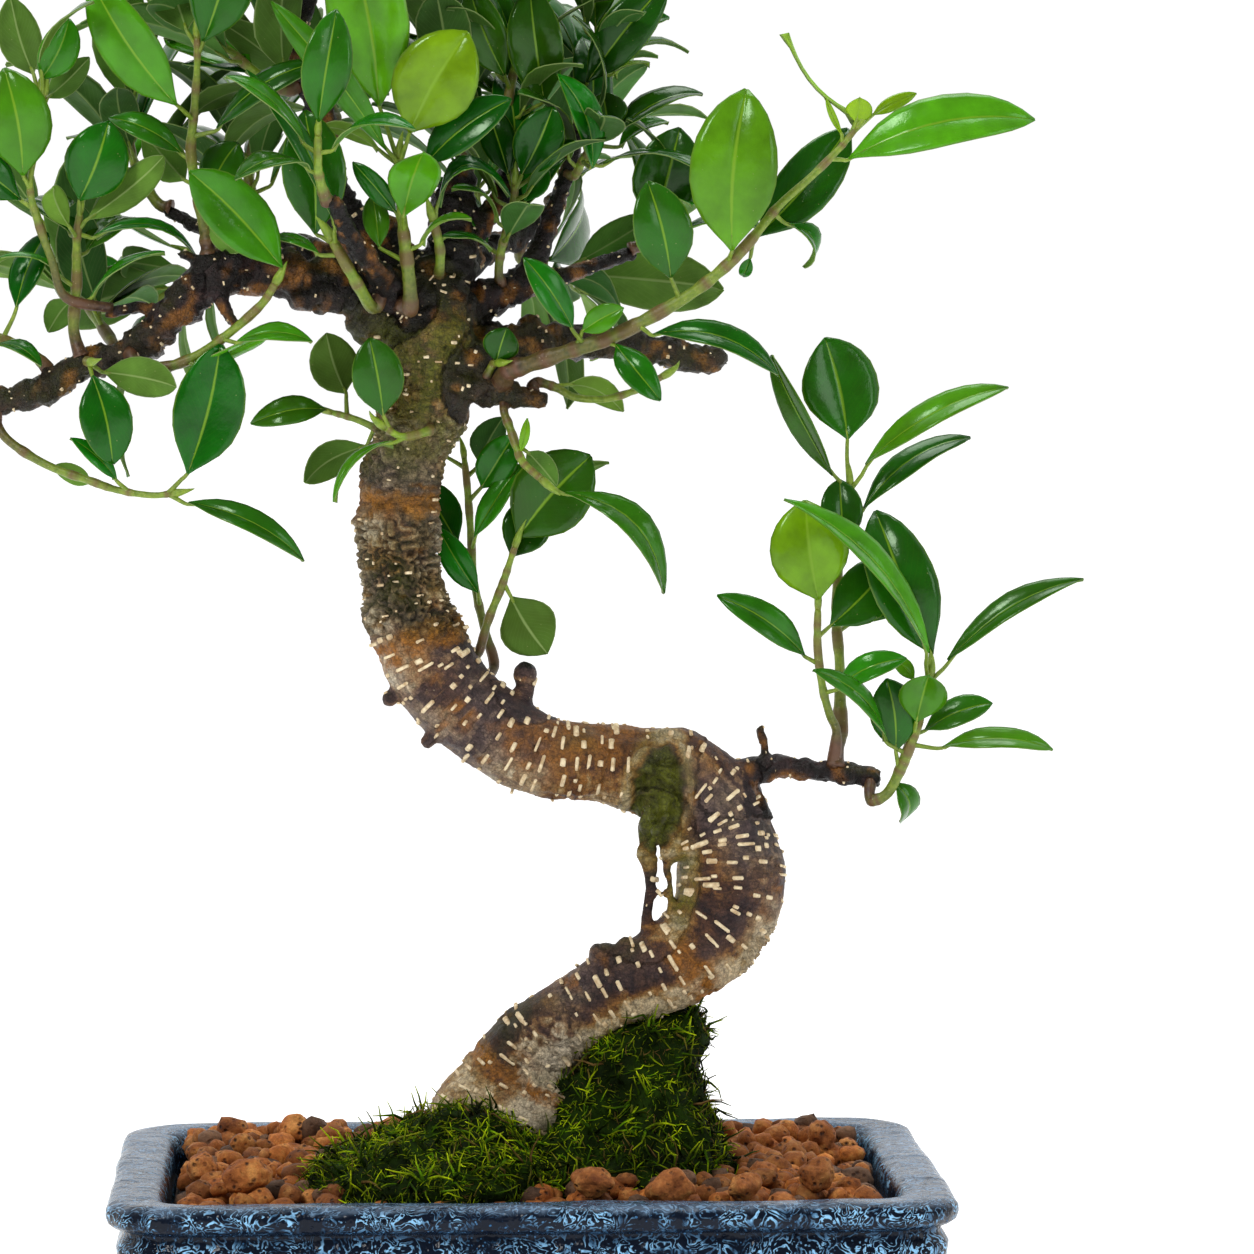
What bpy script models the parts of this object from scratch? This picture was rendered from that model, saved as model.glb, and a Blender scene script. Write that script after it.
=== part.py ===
"""A fig bonsai in a glazed rectangular pot: pot, drain screens, soil, clay granules, moss, trunk and leafy shoots.

Every size and place below is in millimetres, in the pot's own axes: +X to the right, +Y to the back, +Z up,
with the pot standing on Z = 0. The last step moves the whole object so that its own box is centred on the origin.
"""

import math
import random

import bmesh
import bpy
from mathutils import Matrix, Vector
from mathutils.bvhtree import BVHTree

MM = 0.001
GAP = 0.4  # air left between pieces that rest on each other
TRUNK_SIDES, TRUNK_ROOM = 12, 0.5

# ---------------------------------------------------------------- pot and filling
POT_LENGTH, POT_DEPTH, POT_HEIGHT = 250.0, 180.0, 75.0
CORNER_RADIUS, CORNER_STEPS = 20.0, 5
FOOT_HEIGHT, FOOT_LENGTH, FOOT_DEPTH = 8.0, 38.0, 26.0
FLOOR_TOP = 17.0
# outer wall from the underside up to the lip, then the inner wall down to the floor: (height, set in from the rim)
POT_PROFILE = [
    (FOOT_HEIGHT, 15.0), (10.5, 12.5), (36.0, 6.0), (61.0, 3.0), (63.5, 4.6), (66.0, 4.6), (67.5, 1.2),
    (70.5, 0.0), (73.6, 1.0), (POT_HEIGHT, 3.8), (POT_HEIGHT, 12.5), (73.4, 15.6), (66.0, 17.0), (FLOOR_TOP, 21.0),
]
DRAIN_X, DRAIN_RADIUS = 62.0, 8.0
SCREEN_SIDE, SCREEN_THICK = 28.0, 0.8
SOIL_TOP, SOIL_BOTTOM = 62.0, 18.6
# top dressing of clay granules, a low mound: (height, set in from the rim)
BED_PROFILE = [(SOIL_TOP + GAP, 18.0), (68.5, 17.6), (71.5, 24.0), (75.0, 44.0), (77.0, 70.0)]

# ---------------------------------------------------------------- wood: (x, y, z, radius)
TRUNK = [
    (-9, 2, 50, 25), (-10, 2, 66, 23), (-9, 2, 80, 19.5), (-6, 1, 93, 17), (1, 0, 106, 15.5), (12, -2, 117, 14),
    (27, -4, 127, 12.6), (42, -5, 134, 13.6), (54, -4, 142, 15.4), (61, -2, 152, 16.6), (62, 0, 163, 16.6),
    (61, 2, 173, 16.2), (56, 3, 182, 16.4), (46, 3, 190, 15.6), (33, 2, 194, 13.2), (20, 1, 196, 12), (7, 0, 198, 12.6),
    (-6, 0, 204, 13), (-17, 0, 212, 13.6), (-27, 1, 222, 14), (-33, 2, 234, 13.8), (-36, 2, 245, 12.6),
    (-37, 2, 256, 12), (-38, 1, 268, 12.2), (-38, 1, 280, 12), (-35, 0, 291, 12.2), (-31, 0, 302, 13.6),
    (-29, 0, 314, 14), (-29, 0, 326, 14.5), (-29, 0, 338, 13), (-32, 2, 347, 9),
]
WOOD = {
    "leader": [(-30, 2, 338, 11), (-44, 4, 350, 8.5), (-55, 5, 362, 6.5), (-60, 5, 376, 5), (-61, 4, 390, 4.2),
               (-65, 3, 402, 3.8), (-68, 4, 416, 3.2), (-64, 6, 431, 2.6), (-58, 8, 444, 2)],
    "branch_left": [(-30, 0, 330, 10), (-46, -4, 337, 8), (-60, -10, 341, 7), (-78, -14, 344, 6.4),
                    (-93, -16, 343, 6.6), (-103, -17, 335, 5.4), (-111, -18, 326, 5), (-121, -18, 320, 4.6),
                    (-134, -18, 316, 4.4), (-141, -17, 311, 4.4), (-152, -15, 307, 3.8), (-162, -13, 304, 3.2),
                    (-172, -10, 303, 2.4)],
    "stub_centre": [(-26, 2, 338, 9), (-22, 3, 352, 7.5), (-23, 4, 364, 6), (-18, 5, 374, 4)],
    "branch_middle": [(-22, 4, 348, 5), (-12, 7, 360, 3.6), (-6, 9, 370, 3), (-4, 10, 380, 2.4)],
    "branch_right_up": [(-24, 4, 332, 8), (-10, 8, 337, 5.4), (0, 10, 342, 4.4), (5, 12, 353, 3.4), (10, 13, 366, 2.6),
                        (15, 14, 380, 2.2), (18, 15, 394, 1.8)],
    "branch_right_back": [(-4, 9, 339, 4), (14, 16, 344, 2.8), (34, 22, 351, 2.2)],
    "stub_right": [(-22, 2, 318, 9), (-4, 6, 322, 6.4), (14, 9, 324, 5.4), (32, 11, 322, 4.8), (46, 12, 320, 4.6),
                   (58, 13, 317.5, 4)],
    "stub_low": [(-18, -5, 312, 7), (-6, -7, 308, 4), (6, -7, 306, 2.8)],
    "branch_low_right": [(56, 0, 186, 8), (68, 2, 193, 4.4), (78, 2, 194.5, 3.4), (90, 2, 193, 3.2), (101, 1, 192, 3),
                         (108, 0, 191, 2.6)],
    "peg_low_right": [(73, 2, 194, 1.7), (73, 1.5, 200, 1.3), (71, 1, 207, 1.5)],
    "knob": [(-4, 2, 206, 6), (-1.5, 1, 215, 3.8), (0, 1, 219, 3), (0.5, 1, 223.5, 3.2)],
    "air_root": [(37, -4, 178, 3.4), (36.5, -7, 170, 2.4), (37.6, -8, 160, 1.8), (36.4, -8, 150, 1.8), (37, -6, 142, 3)],
    "branch_back": [(-26, 4, 334, 8), (-20, 24, 344, 5.4), (-10, 44, 352, 4), (2, 62, 357, 3), (12, 76, 366, 2.2)],
    "branch_back_left": [(-34, 4, 336, 7), (-52, 24, 346, 5), (-72, 42, 353, 3.8), (-92, 54, 356, 2.8), (-110, 60, 364, 2)],
    "branch_front": [(-36, -4, 336, 6), (-44, -22, 344, 4), (-52, -38, 354, 3), (-58, -50, 366, 2.2)],
    "peg_left_a": [(-108, -17, 330, 2.6), (-114, -16, 334, 1.9), (-125, -15, 332.5, 1.9)],
    "peg_left_b": [(-95, -16, 345, 2.6), (-100, -17, 349, 1.7), (-104, -18, 350, 1.4)],
    "peg_left_c": [(-92, -18, 342, 2.8), (-90, -22, 334, 2), (-86, -24, 328, 1.6)],
}

# ---------------------------------------------------------------- leafy shoots
# A shoot is its stem, as (x, y, z, radius), and its leaves. A leaf is where its blade starts, where it ends,
# its width, the way its upper face looks, how far it arches back, and its age (1 young and bright, 0 old and dark).
FRONT, BACK, UP, DOWN = (0, -1, 0.15), (0, 1, 0.2), (0, -0.35, 1), (0, -0.5, -1)
SHOOTS = {
    "shoot_right_tip": (
        [(-9, -12, 314, 3.4), (0, -18, 317, 3), (12, -23, 321, 2.6), (24, -26, 325, 2.4), (36, -29, 331, 2.2),
         (48, -31, 338, 2), (57, -33, 345, 1.9), (65, -34, 353, 1.7), (74, -34, 364, 1.5), (84, -34, 373, 1.3),
         (92, -34, 381, 1.1), (97, -34, 387, 0.9)],
        [((60, -38, 351), (64, -44, 398), 26, FRONT, 2, 0.75), ((42, -36, 343), (35, -42, 371), 17.5, FRONT, 2, 0.1),
         ((13, -30, 328), (-1, -38, 349), 11, (0.5, -1, 0.3), 3, 0.2), ((16, -28, 327), (28, -34, 334), 8, FRONT, 1, 0.6),
         ((37, -33, 326), (74, -40, 316), 10, (0, -0.8, 0.7), 6, 0.15), ((26, -28, 323), (39, -36, 307), 10, (0.3, -1, 0), 3, 0.35),
         ((95, -32, 378), (150, -36, 391), 17, (0, -1, 0.5), 6, 0.6), ((68, -28, 355), (96, -22, 388), 17, FRONT, 0, 0),
         ((77, -30, 359), (84, -24, 346), 9, (0.6, -0.6, 0.6), 5, 0.3), ((66, -30, 349), (64, -26, 343), 4, FRONT, 1, 0.3),
         ((97, -34, 389), (98, -36, 396), 8, FRONT, 0, 0.95), ((98, -34, 391), (78, -38, 416), 2.4, UP, -5, 0.9),
         ((93, -34, 385), (88, -36, 396), 2.2, FRONT, -1, 0.9), ((102, -32, 391), (116, -28, 398), 4.5, FRONT, -1, 0.9)]),
    "shoot_low_upright": (
        [(94, 2, 197, 2.6), (96, 3, 204, 2.4), (96, 4, 213, 2.2), (96, 6, 226, 1.8), (95, 7, 240, 1.6), (96, 8, 256, 1.4),
         (98, 8, 270, 1.3), (99, 8, 279, 1.1)],
        [((98.5, 8, 294), (92, 10, 325), 25, (0.25, -1, 0.2), -2, 0.25), ((94, 6, 283), (74, 8, 319), 9, (-0.8, -0.6, 0.3), 3, 0.15),
         ((104, 6, 286), (145, -2, 312), 11, (0, -0.7, 0.8), 6, 0.55), ((103, 10, 272), (137, 18, 295), 10, (0, -0.6, 0.8), 5, 0.1),
         ((97, 4, 262), (96, 6, 282), 13, FRONT, 1, 0.1), ((100, 10, 238), (117, 20, 252), 14, (0, -0.9, 0.3), 3, 0.05)]),
    "shoot_low_green": (
        [(94.5, -1.5, 205, 1.7), (92, -5, 211, 1.5), (89.5, -8, 220, 1.4), (88, -9, 232, 1.3), (88, -10, 243, 1.1)],
        [((88, -11, 246), (84, -14, 276), 24, FRONT, 1, 0.8), ((84, -9, 229), (58, -16, 248), 10, (-0.4, -0.8, 0.6), 4, 0.4),
         ((94, -10, 219), (114, -16, 229), 9, (0, -0.9, 0.6), 4, 0.4), ((92, -8, 238), (112, 0, 258), 17, FRONT, 1, 0)]),
    "shoot_low_end": (
        [(104, -1.5, 188, 1.9), (105.5, -3, 184.5, 1.9), (110, -4, 187, 1.9), (114, -5, 195, 1.8), (117, -6, 203, 1.7),
         (120, -6, 212, 1.4), (122, -7, 222, 1.2)],
        [((121, -12, 230), (78, -26, 278), 12, (0.5, -0.7, 0.7), 7, 0.6), ((123, -6, 229), (107, -2, 273), 21, (0.2, -1, 0.1), 4, 0),
         ((128, -7, 227), (167, -12, 254), 9, (0, -0.7, 0.8), 3, 0.15), ((109, -9, 203), (84, -18, 229), 9, (0.5, -0.8, 0.7), 4, 0.35),
         ((112, -7, 200), (109, -10, 222), 15, FRONT, 1, 0.1), ((118, -10, 209), (121, -18, 223), 15, (0, -0.8, -0.5), -2, 0.55),
         ((121, -5, 206), (141, -8, 215), 10, (0, -0.8, 0.6), 2, 0.1), ((126, -8, 201), (159, -14, 202), 9, (0, -0.7, 0.8), 5, 0.45),
         ((112, -3, 190), (115, 2, 177), 11, (0.7, -0.8, 0.3), 4, 0.4), ((118, -2, 221), (112, 0, 228), 5, FRONT, 1, 0.7)]),
    "shoot_behind_trunk": (
        [(-9, 20, 224, 1.7), (-12, 20, 236, 1.6), (-15, 20, 250, 1.4), (-16, 20, 264, 1.3), (-17, 20, 278, 1.2), (-18, 21, 288, 1)],
        [((-14, 16, 247), (-26, 15, 267), 9, FRONT, 2, 0.3), ((-15, 16, 264), (-1, 14, 287), 8, (-0.5, -1, 0.4), 2, 0.4),
         ((-13, 17, 279), (-3, 14, 295), 12, (0.2, -1, 0.3), 2, 0.3), ((-20, 20, 262), (-30, 28, 280), 13, FRONT, 1, 0),
         ((-13, 22, 286), (-6, 34, 300), 11, BACK, 2, 0.1), ((-23, 24, 288), (-34, 40, 306), 13, BACK, 3, 0.2)]),
    "shoot_behind_low": (
        [(-14, 10, 229, 1.5), (-11, 9.5, 239, 1.4), (-7, 9, 249, 1.3), (-4, 9, 258, 1.1), (-3, 9, 261, 0.9)],
        [((-2, 10, 264), (20, 6, 289), 24, FRONT, 1, 0.1), ((-4, 12, 258), (5, 18, 276), 15, FRONT, 1, 0),
         ((-4, 9, 246), (7, 6, 229), 18, BACK, -3, 0.2), ((-1, 13, 268), (25, 22, 288), 10, (0.4, 0.7, 1), 4, 0.3)]),
    "shoot_hanging": (
        [(-7, -11, 303.5, 1.5), (-5, -14, 298, 1.4), (-3, -17, 292, 1.3), (-1.5, -18, 288, 1.2), (4, -19, 283, 1.1)],
        [((11, -20, 278.5), (42, -24, 250), 11, (0.3, -0.8, 0.6), 11, 0.35), ((0, -17, 291), (9, -13, 281), 8, BACK, 2, 0.2),
         ((-2, -18, 291), (0, -20, 301), 3, FRONT, 1, 0.8)]),
    "shoot_trunk_left": (
        [(-24, -13.5, 300, 1.8), (-31, -16, 296.5, 1.5), (-37, -17.5, 295.5, 1.3), (-42, -18, 298, 1.1)],
        [((-43, -19, 302), (-47, -22, 325), 15.5, FRONT, 1, 0), ((-40, -19, 294), (-59, -28, 278), 5, (-0.5, -0.5, 1), 4, 0.5)]),
    "shoot_trunk_back_left": (
        [(-44, 11, 297, 1.4), (-51, 14, 300, 1.2), (-58, 16, 302, 1)],
        [((-60, 16, 303), (-83, 12, 299), 9, (0, -1, 0.3), 5, 0.3), ((-48, 15, 292), (-67, 10, 281), 11, BACK, 4, 0.3),
         ((-54, 18, 308), (-60, 22, 326), 15, BACK, 2, 0.2)]),
    "shoot_under_right": (
        [(3, -3, 311.5, 1.7), (9, -4, 310, 1.5), (15, -5, 307, 1.4), (24, -5, 306.5, 1.3), (33, -4, 309, 1.2), (41, -2, 313, 1)],
        [((13, -3, 311), (30, 2, 303), 9, (0.2, 1, 0.5), 3, 0.35)]),
    "shoot_left_upright": (
        [(-95, -15, 351, 2.6), (-96, -15, 358, 2.3), (-98, -16, 368, 2), (-100, -17, 380, 1.7), (-99, -18, 392, 1.4),
         (-98, -19, 405, 1.2), (-98, -19, 414, 1)],
        [((-104, -26, 394), (-129, -34, 430), 17, (-0.4, -1, 0.3), 3, 0.55), ((-103, -16, 380), (-124, -18, 391), 9, (0, -0.9, 0.6), 5, 0.2),
         ((-96, -20, 413), (-86, -28, 446), 19, FRONT, 1, 0.3), ((-92, -20, 387), (-61, -30, 408), 10, (0, -0.8, 0.7), 5, 0.1),
         ((-102, -12, 372), (-114, -4, 386), 12, BACK, 2, 0.3), ((-95, -12, 368), (-86, -4, 384), 13, FRONT, 1, 0.15),
         ((-101, -18, 416), (-112, -14, 440), 16, (-0.3, 1, 0.4), 2, 0.2), ((-94, -18, 363), (-86, -20, 350), 11, BACK, 1, 0.3)]),
    "shoot_left_front": (
        [(-119, -24, 319.5, 1.9), (-108, -27, 316.5, 1.7), (-98, -29, 320, 1.6), (-88, -31, 327, 1.5), (-79, -33, 335, 1.3),
         (-75, -34, 341, 1.1)],
        [((-73, -35, 346), (-99, -44, 374), 18, (0.2, -1, 0.1), -3, 0.5), ((-98, -30, 317), (-74, -26, 328), 9, DOWN, 1, 0.5),
         ((-86, -34, 324), (-64, -36, 325), 8, (0, -0.7, 0.8), 3, 0.5)]),
    "shoot_left_second": (
        [(-134, -18, 321.5, 2.2), (-135, -18, 330, 2), (-134, -18, 342, 1.7), (-134, -18, 353, 1.4), (-133, -18, 362, 1.1)],
        [((-133, -20, 366), (-124, -26, 389), 19, (0.1, -1, 0.2), 2, 0.1), ((-131, -19, 360), (-107, -28, 379), 10, (0.4, 1, 0.2), 3, 0.4),
         ((-129, -17, 355), (-96, -14, 349), 6, (0, -0.6, 0.9), 8, 0.3), ((-130, -19, 337), (-108, -26, 351), 9, UP, 3, 0.4),
         ((-138, -20, 343), (-155, -30, 349), 5, UP, 3, 0.4), ((-136, -14, 336), (-143, -8, 327), 9, BACK, 2, 0.3),
         ((-136, -22, 358), (-141, -30, 370), 8, (-0.4, 1, 0.2), 2, 0.5), ((-131, -14, 351), (-118, 4, 362), 12, UP, 3, 0.2),
         ((-136, -14, 356), (-150, 4, 368), 13, UP, 3, 0.1)]),
    "shoot_left_third": (
        [(-137, -22, 337, 1.5), (-141, -25, 348, 1.4), (-145, -28, 360, 1.3), (-147, -30, 370, 1.1), (-145, -29, 384, 1),
         (-143, -28, 396, 0.9)],
        [((-149, -32, 373), (-154, -38, 404), 20, FRONT, 2, 0.5), ((-144, -28, 401), (-135, -30, 419), 12, (0.4, -1, 0.1), 2, 0.4),
         ((-146, -26, 403), (-153, -20, 426), 13, BACK, 3, 0.3), ((-142, -26, 396), (-130, -22, 408), 8, BACK, 3, 0.3),
         ((-150, -28, 366), (-172, -34, 384), 14, (-0.4, -0.8, 0.6), 4, 0.15), ((-144, -30, 405), (-128, -42, 424), 13, UP, 3, 0.4)]),
    "shoot_left_low": (
        [(-158, -16, 299.5, 1.8), (-155, -18, 295, 1.6), (-148, -20, 290, 1.5), (-140, -22, 286, 1.4), (-131, -24, 283, 1.3),
         (-122, -26, 280, 1.2), (-112, -28, 278.5, 1.1), (-106, -29, 279, 1)],
        [((-101, -31, 285), (-91, -34, 323), 21, (0.1, -1, 0), -2, 0.15), ((-101, -29, 276), (-66, -34, 261), 9, (0.2, -0.8, 0.7), 6, 0.25),
         ((-122, -28, 283), (-135, -34, 296), 6, (0.6, -0.8, 0.3), 2, 0.3), ((-130, -22, 282), (-141, -18, 287), 6, BACK, 1, 0.4)]),
    "shoot_left_leaf": (
        [(-131, -23, 318.5, 1.6), (-130.5, -26, 318, 1.3), (-130, -28, 318, 1.1)],
        [((-129, -31, 314), (-123, -34, 288), 15.5, (0, -1, 0.1), 2, 0.15), ((-126, -27, 315), (-103, -26, 311), 12, BACK, 2, 0.3)]),
    "shoot_left_end": (
        [(-143, -16, 316.5, 2), (-150, -17, 322, 1.8), (-160, -18, 326, 1.7), (-172, -18, 331, 1.5), (-182, -17, 340, 1.2)],
        [((-152, -19, 334), (-143, -24, 357), 11, (-0.5, -1, 0.2), 2, 0.1), ((-160, -20, 322), (-144, -30, 318), 8, UP, 3, 0.3),
         ((-184, -19, 345), (-188, -26, 376), 18, FRONT, 3, 0.3), ((-178, -20, 338), (-196, -34, 350), 12, UP, 4, 0.2),
         ((-176, -14, 340), (-180, 4, 362), 14, UP, 3, 0.4), ((-168, -16, 334), (-164, -2, 356), 14, FRONT, 2, 0.2),
         ((-172, -20, 326), (-190, -28, 312), 11, UP, 4, 0.1)]),
    "shoot_left_far": (
        [(-174, -10, 303, 2), (-182, -9, 306, 1.6), (-189, -8, 312, 1.2)],
        [((-192, -10, 315), (-207, -18, 330), 13, (-0.3, -0.7, 0.8), 4, 0.2), ((-186, -6, 311), (-176, 14, 326), 13, UP, 3, 0.3),
         ((-184, -12, 304), (-196, -30, 292), 12, UP, 4, 0.3), ((-180, -4, 304), (-190, 16, 294), 12, UP, 4, 0.1)]),
    "shoot_centre": (
        [(-35, -15, 332, 2.6), (-35, -19, 340, 2.4), (-36, -22, 349, 2.1), (-37, -24, 358, 1.8), (-38, -24, 368, 1.5),
         (-38, -23, 378, 1.2)],
        [((-37, -30, 361), (-31, -42, 379), 16, (0.1, -0.6, -0.7), -5, 0.6), ((-35, -26, 386), (-18, -34, 415), 25, (0.1, -1, 0.2), 1, 0.9),
         ((-42, -27, 381), (-76, -38, 423), 10, (-0.5, -0.9, 0.3), 4, 0.5), ((-31, -24, 376), (-5, -28, 396), 13, (0, -1, 0.4), 2, 0),
         ((-39, -24, 362), (-52, -28, 377), 7, (-0.3, -1, 0), 2, 0.1), ((-32, -24, 353), (-17, -30, 361), 7, UP, 3, 0.6),
         ((-44, -24, 381), (-62, -32, 388), 6, (0, 0.6, 0.6), 3, 0.5), ((-44, -22, 352), (-46, -18, 368), 8, FRONT, 1, 0.5),
         ((-44, -22, 394), (-54, -30, 446), 24, (-0.1, -1, 0.2), 2, 0.7)]),
    "shoot_centre_arch": (
        [(-26, -13, 346, 1.8), (-26, -16, 352, 1.6), (-28, -18, 360, 1.3)],
        [((-27, -19, 364), (-5, -20, 368), 9, (0.1, -0.5, 0.9), 12, 0.1), ((-26, -17, 355), (-10, -12, 352), 7, UP, 2, 0.3)]),
    "shoot_front_left": (
        [(-46, -17, 334, 2.3), (-50, -24, 340, 2), (-54, -28, 347, 1.8), (-58, -30, 354, 1.4)],
        [((-57, -36, 358), (-82, -46, 404), 8, (0.6, -0.8, 0.4), 5, 0.3), ((-63, -30, 356), (-66, -34, 392), 19, FRONT, 1, 0),
         ((-62, -28, 350), (-76, -24, 356), 8, UP, 2, 0.4)]),
    "shoot_front_low": (
        [(-60, -50, 366, 1.9), (-62, -56, 374, 1.5), (-62, -60, 384, 1.1)],
        [((-62, -62, 388), (-56, -66, 420), 15, (0.3, -0.8, 0.5), 2, 0.4), ((-58, -60, 380), (-34, -72, 386), 13, UP, 5, 0.2),
         ((-64, -56, 374), (-86, -70, 372), 13, UP, 5, 0.15), ((-66, -58, 382), (-88, -60, 402), 12, UP, 3, 0.3)]),
    "shoot_small_leaf": (
        [(-10, -11, 317, 1.3), (-9, -13, 317.5, 1.1)],
        [((-9, -14, 318), (-6, -18, 328), 11, FRONT, 1, 0.1)]),
    "shoot_middle": (
        [(-8, 4, 343, 1.6), (-7, 2, 352, 1.5), (-4, 0, 362, 1.4), (-3, -2, 371, 1.1)],
        [((-1, -5, 374), (8, -12, 394), 15, (0, -1, 0.2), 1, 0), ((-5, 0, 374), (-12, 4, 396), 11, FRONT, 2, 0),
         ((2, -2, 374), (16, -8, 384), 8, UP, 3, 0.2), ((-8, 0, 360), (-22, -8, 370), 9, UP, 4, 0.4),
         ((0, 2, 366), (5, 6, 378), 9, FRONT, 1, 0.1)]),
    "shoot_middle_top": (
        [(-4, 9, 384, 2), (-5, 9, 394, 1.7), (-3, 9, 406, 1.4), (-1, 9, 418, 1.2)],
        [((-6, 4, 404), (-17, -2, 430), 14, (-0.3, -1, 0.2), 2, 0.05), ((6, 2, 396), (1, -6, 430), 17, (-0.2, -1, 0.1), 2, 0.1),
         ((0, 6, 421), (10, 2, 450), 15, FRONT, 2, 0.4), ((-4, 12, 417), (-18, 22, 442), 15, UP, 3, 0.2),
         ((-1, 14, 400), (10, 34, 414), 14, UP, 3, 0.2), ((-8, 12, 398), (-26, 26, 408), 13, UP, 4, 0.1)]),
    "shoot_right_inner": (
        [(19, 15, 397, 1.7), (21, 14, 406, 1.4), (23, 13, 416, 1.1)],
        [((19, 6, 402), (43, 2, 432), 15, (0.2, -1, 0.3), 2, 0.05), ((24, 10, 412), (44, 12, 423), 9, (0.2, -0.7, 0.8), 2, 0.3),
         ((27, 12, 405), (38, 10, 409), 4, UP, 1, 0.9), ((22, 14, 419), (26, 20, 446), 15, UP, 2, 0.4),
         ((18, 20, 408), (6, 38, 428), 14, UP, 3, 0.2)]),
    "shoot_right_fork": (
        [(15, 10, 373, 1.5), (18, 6, 379, 1.4), (23, 3, 385, 1.2)],
        [((20, -3, 376), (10, -12, 405), 11, (0.6, -1, 0.2), 3, 0.25), ((26, 4, 387), (24, 6, 399), 13, FRONT, 0, 0),
         ((29, 8, 383), (44, 14, 391), 9, UP, 2, 0.5)]),
    "shoot_right_back": (
        [(38, 21, 354, 1.7), (41, 18, 358, 1.4), (44, 16, 364, 1.1)],
        [((40, 12, 359), (47, 4, 388), 21, (0, -1, 0.2), 2, 0.05), ((46, 20, 366), (62, 30, 388), 13, UP, 3, 0.1),
         ((43, 26, 357), (52, 48, 372), 13, UP, 3, 0.2)]),
}
# Shoots that fill the crown where nothing is placed leaf by leaf: stem, number of leaves, leaf length.
FILL_SHOOTS = {
    "shoot_top_left": ([(-70, 4, 420, 2), (-78, 0, 432, 1.7), (-84, -4, 446, 1.4), (-86, -6, 458, 1.1)], 7, 44),
    "shoot_top": ([(-57, 8, 448, 1.8), (-52, 8, 460, 1.5), (-48, 6, 472, 1.1)], 7, 42),
    "shoot_top_front": ([(-60, 0, 432, 1.8), (-52, -12, 440, 1.5), (-44, -22, 448, 1.1)], 6, 44),
    "shoot_top_back": ([(-60, 14, 430, 1.8), (-52, 28, 442, 1.5), (-44, 38, 454, 1.1)], 7, 44),
    "shoot_leader_back": ([(-57, 11, 392, 2), (-64, 24, 402, 1.7), (-74, 36, 414, 1.1)], 6, 46),
    "shoot_leader_left": ([(-66, 2, 396, 1.9), (-80, 4, 404, 1.6), (-94, 6, 416, 1.3), (-104, 8, 428, 1)], 7, 46),
    "shoot_stub_top": ([(-17, 8, 378, 2.2), (-20, 12, 392, 1.9), (-24, 14, 408, 1.5), (-24, 14, 424, 1.1)], 7, 46),
    "shoot_back": ([(13, 79, 370, 2), (17, 84, 382, 1.6), (18, 88, 396, 1.1)], 6, 46),
    "shoot_back_mid": ([(-12, 48, 357, 2), (-14, 54, 372, 1.7), (-12, 58, 388, 1.2)], 7, 46),
    "shoot_back_low": ([(-4, 58, 352, 1.8), (6, 66, 346, 1.5), (18, 72, 344, 1.1)], 5, 44),
    "shoot_back_left": ([(-113, 61, 367, 2), (-120, 62, 380, 1.6), (-122, 62, 394, 1.1)], 6, 46),
    "shoot_back_left_mid": ([(-80, 48, 359, 2), (-84, 54, 374, 1.7), (-82, 58, 390, 1.2)], 7, 46),
    "shoot_back_left_low": ([(-94, 56, 351, 1.8), (-104, 60, 342, 1.5), (-114, 58, 336, 1.1)], 5, 44),
    "shoot_left_back": ([(-124, -12, 324, 2), (-130, 4, 332, 1.7), (-138, 20, 344, 1.4), (-144, 32, 358, 1.1)], 6, 44),
}
LEAF_HALF_THICK, PETIOLE_RADIUS, PETIOLE_REACH = 0.5, 0.55, 5.0
LEAF_STATIONS = [(0.0, 0.10), (0.44, 1.0), (1.0, 0.06)]  # share of the length, share of the width
GOLDEN_TURN = math.radians(137.5)
ARRANGE_SEED = 7


# ================================================================ curves
def smooth_route(points, steps):
    """A Catmull-Rom curve through tuples of numbers, with this many steps in each span."""
    rows = [points[0], *points, points[-1]]
    route = []
    for a, b, c, d in zip(rows, rows[1:], rows[2:], rows[3:]):
        for k in range(steps):
            t = k / steps
            route.append(tuple(
                0.5 * (2 * q + (r - p) * t + (2 * p - 5 * q + 4 * r - s) * t * t + (3 * q - p - 3 * r + s) * t**3)
                for p, q, r, s in zip(a, b, c, d)))
    route.append(tuple(float(x) for x in points[-1]))
    return route


def frames_along(route):
    """One matrix for each (x, y, z, radius): a unit ring carried along the curve without twisting."""
    places = [Vector(p[:3]) for p in route]
    frames, side = [], None
    for k, place in enumerate(places):
        along = (places[min(k + 1, len(places) - 1)] - places[max(k - 1, 0)]).normalized()
        side = Vector((0, 1, 0)).cross(along) if side is None else side - side.dot(along) * along
        side.normalize()
        turn = Matrix((side, along.cross(side), along)).transposed().to_4x4()
        frames.append(Matrix.Translation(place) @ turn @ Matrix.Diagonal((route[k][3], route[k][3], route[k][3], 1)))
    return frames


def nearest_on(route, place):
    return min(range(len(route)), key=lambda k: (Vector(route[k][:3]) - place).length)


# ================================================================ solids
def loft(bm, frames, sides, start_angle=0.0):
    """A closed solid: a round face carried from frame to frame by extrusion."""
    ring = bmesh.ops.create_circle(
        bm, cap_ends=True, segments=sides, radius=1.0,
        matrix=frames[0] @ Matrix.Rotation(start_angle, 4, "Z"))["verts"]
    return carry(bm, ring[0].link_faces[0], frames)


def carry(bm, face, frames):
    for before, after in zip(frames, frames[1:]):
        grown = bmesh.ops.extrude_face_region(bm, geom=[face, *face.edges])["geom"]
        face = next(g for g in grown if isinstance(g, bmesh.types.BMFace))
        bmesh.ops.transform(bm, matrix=after @ before.inverted(), verts=face.verts)
    return face


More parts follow.
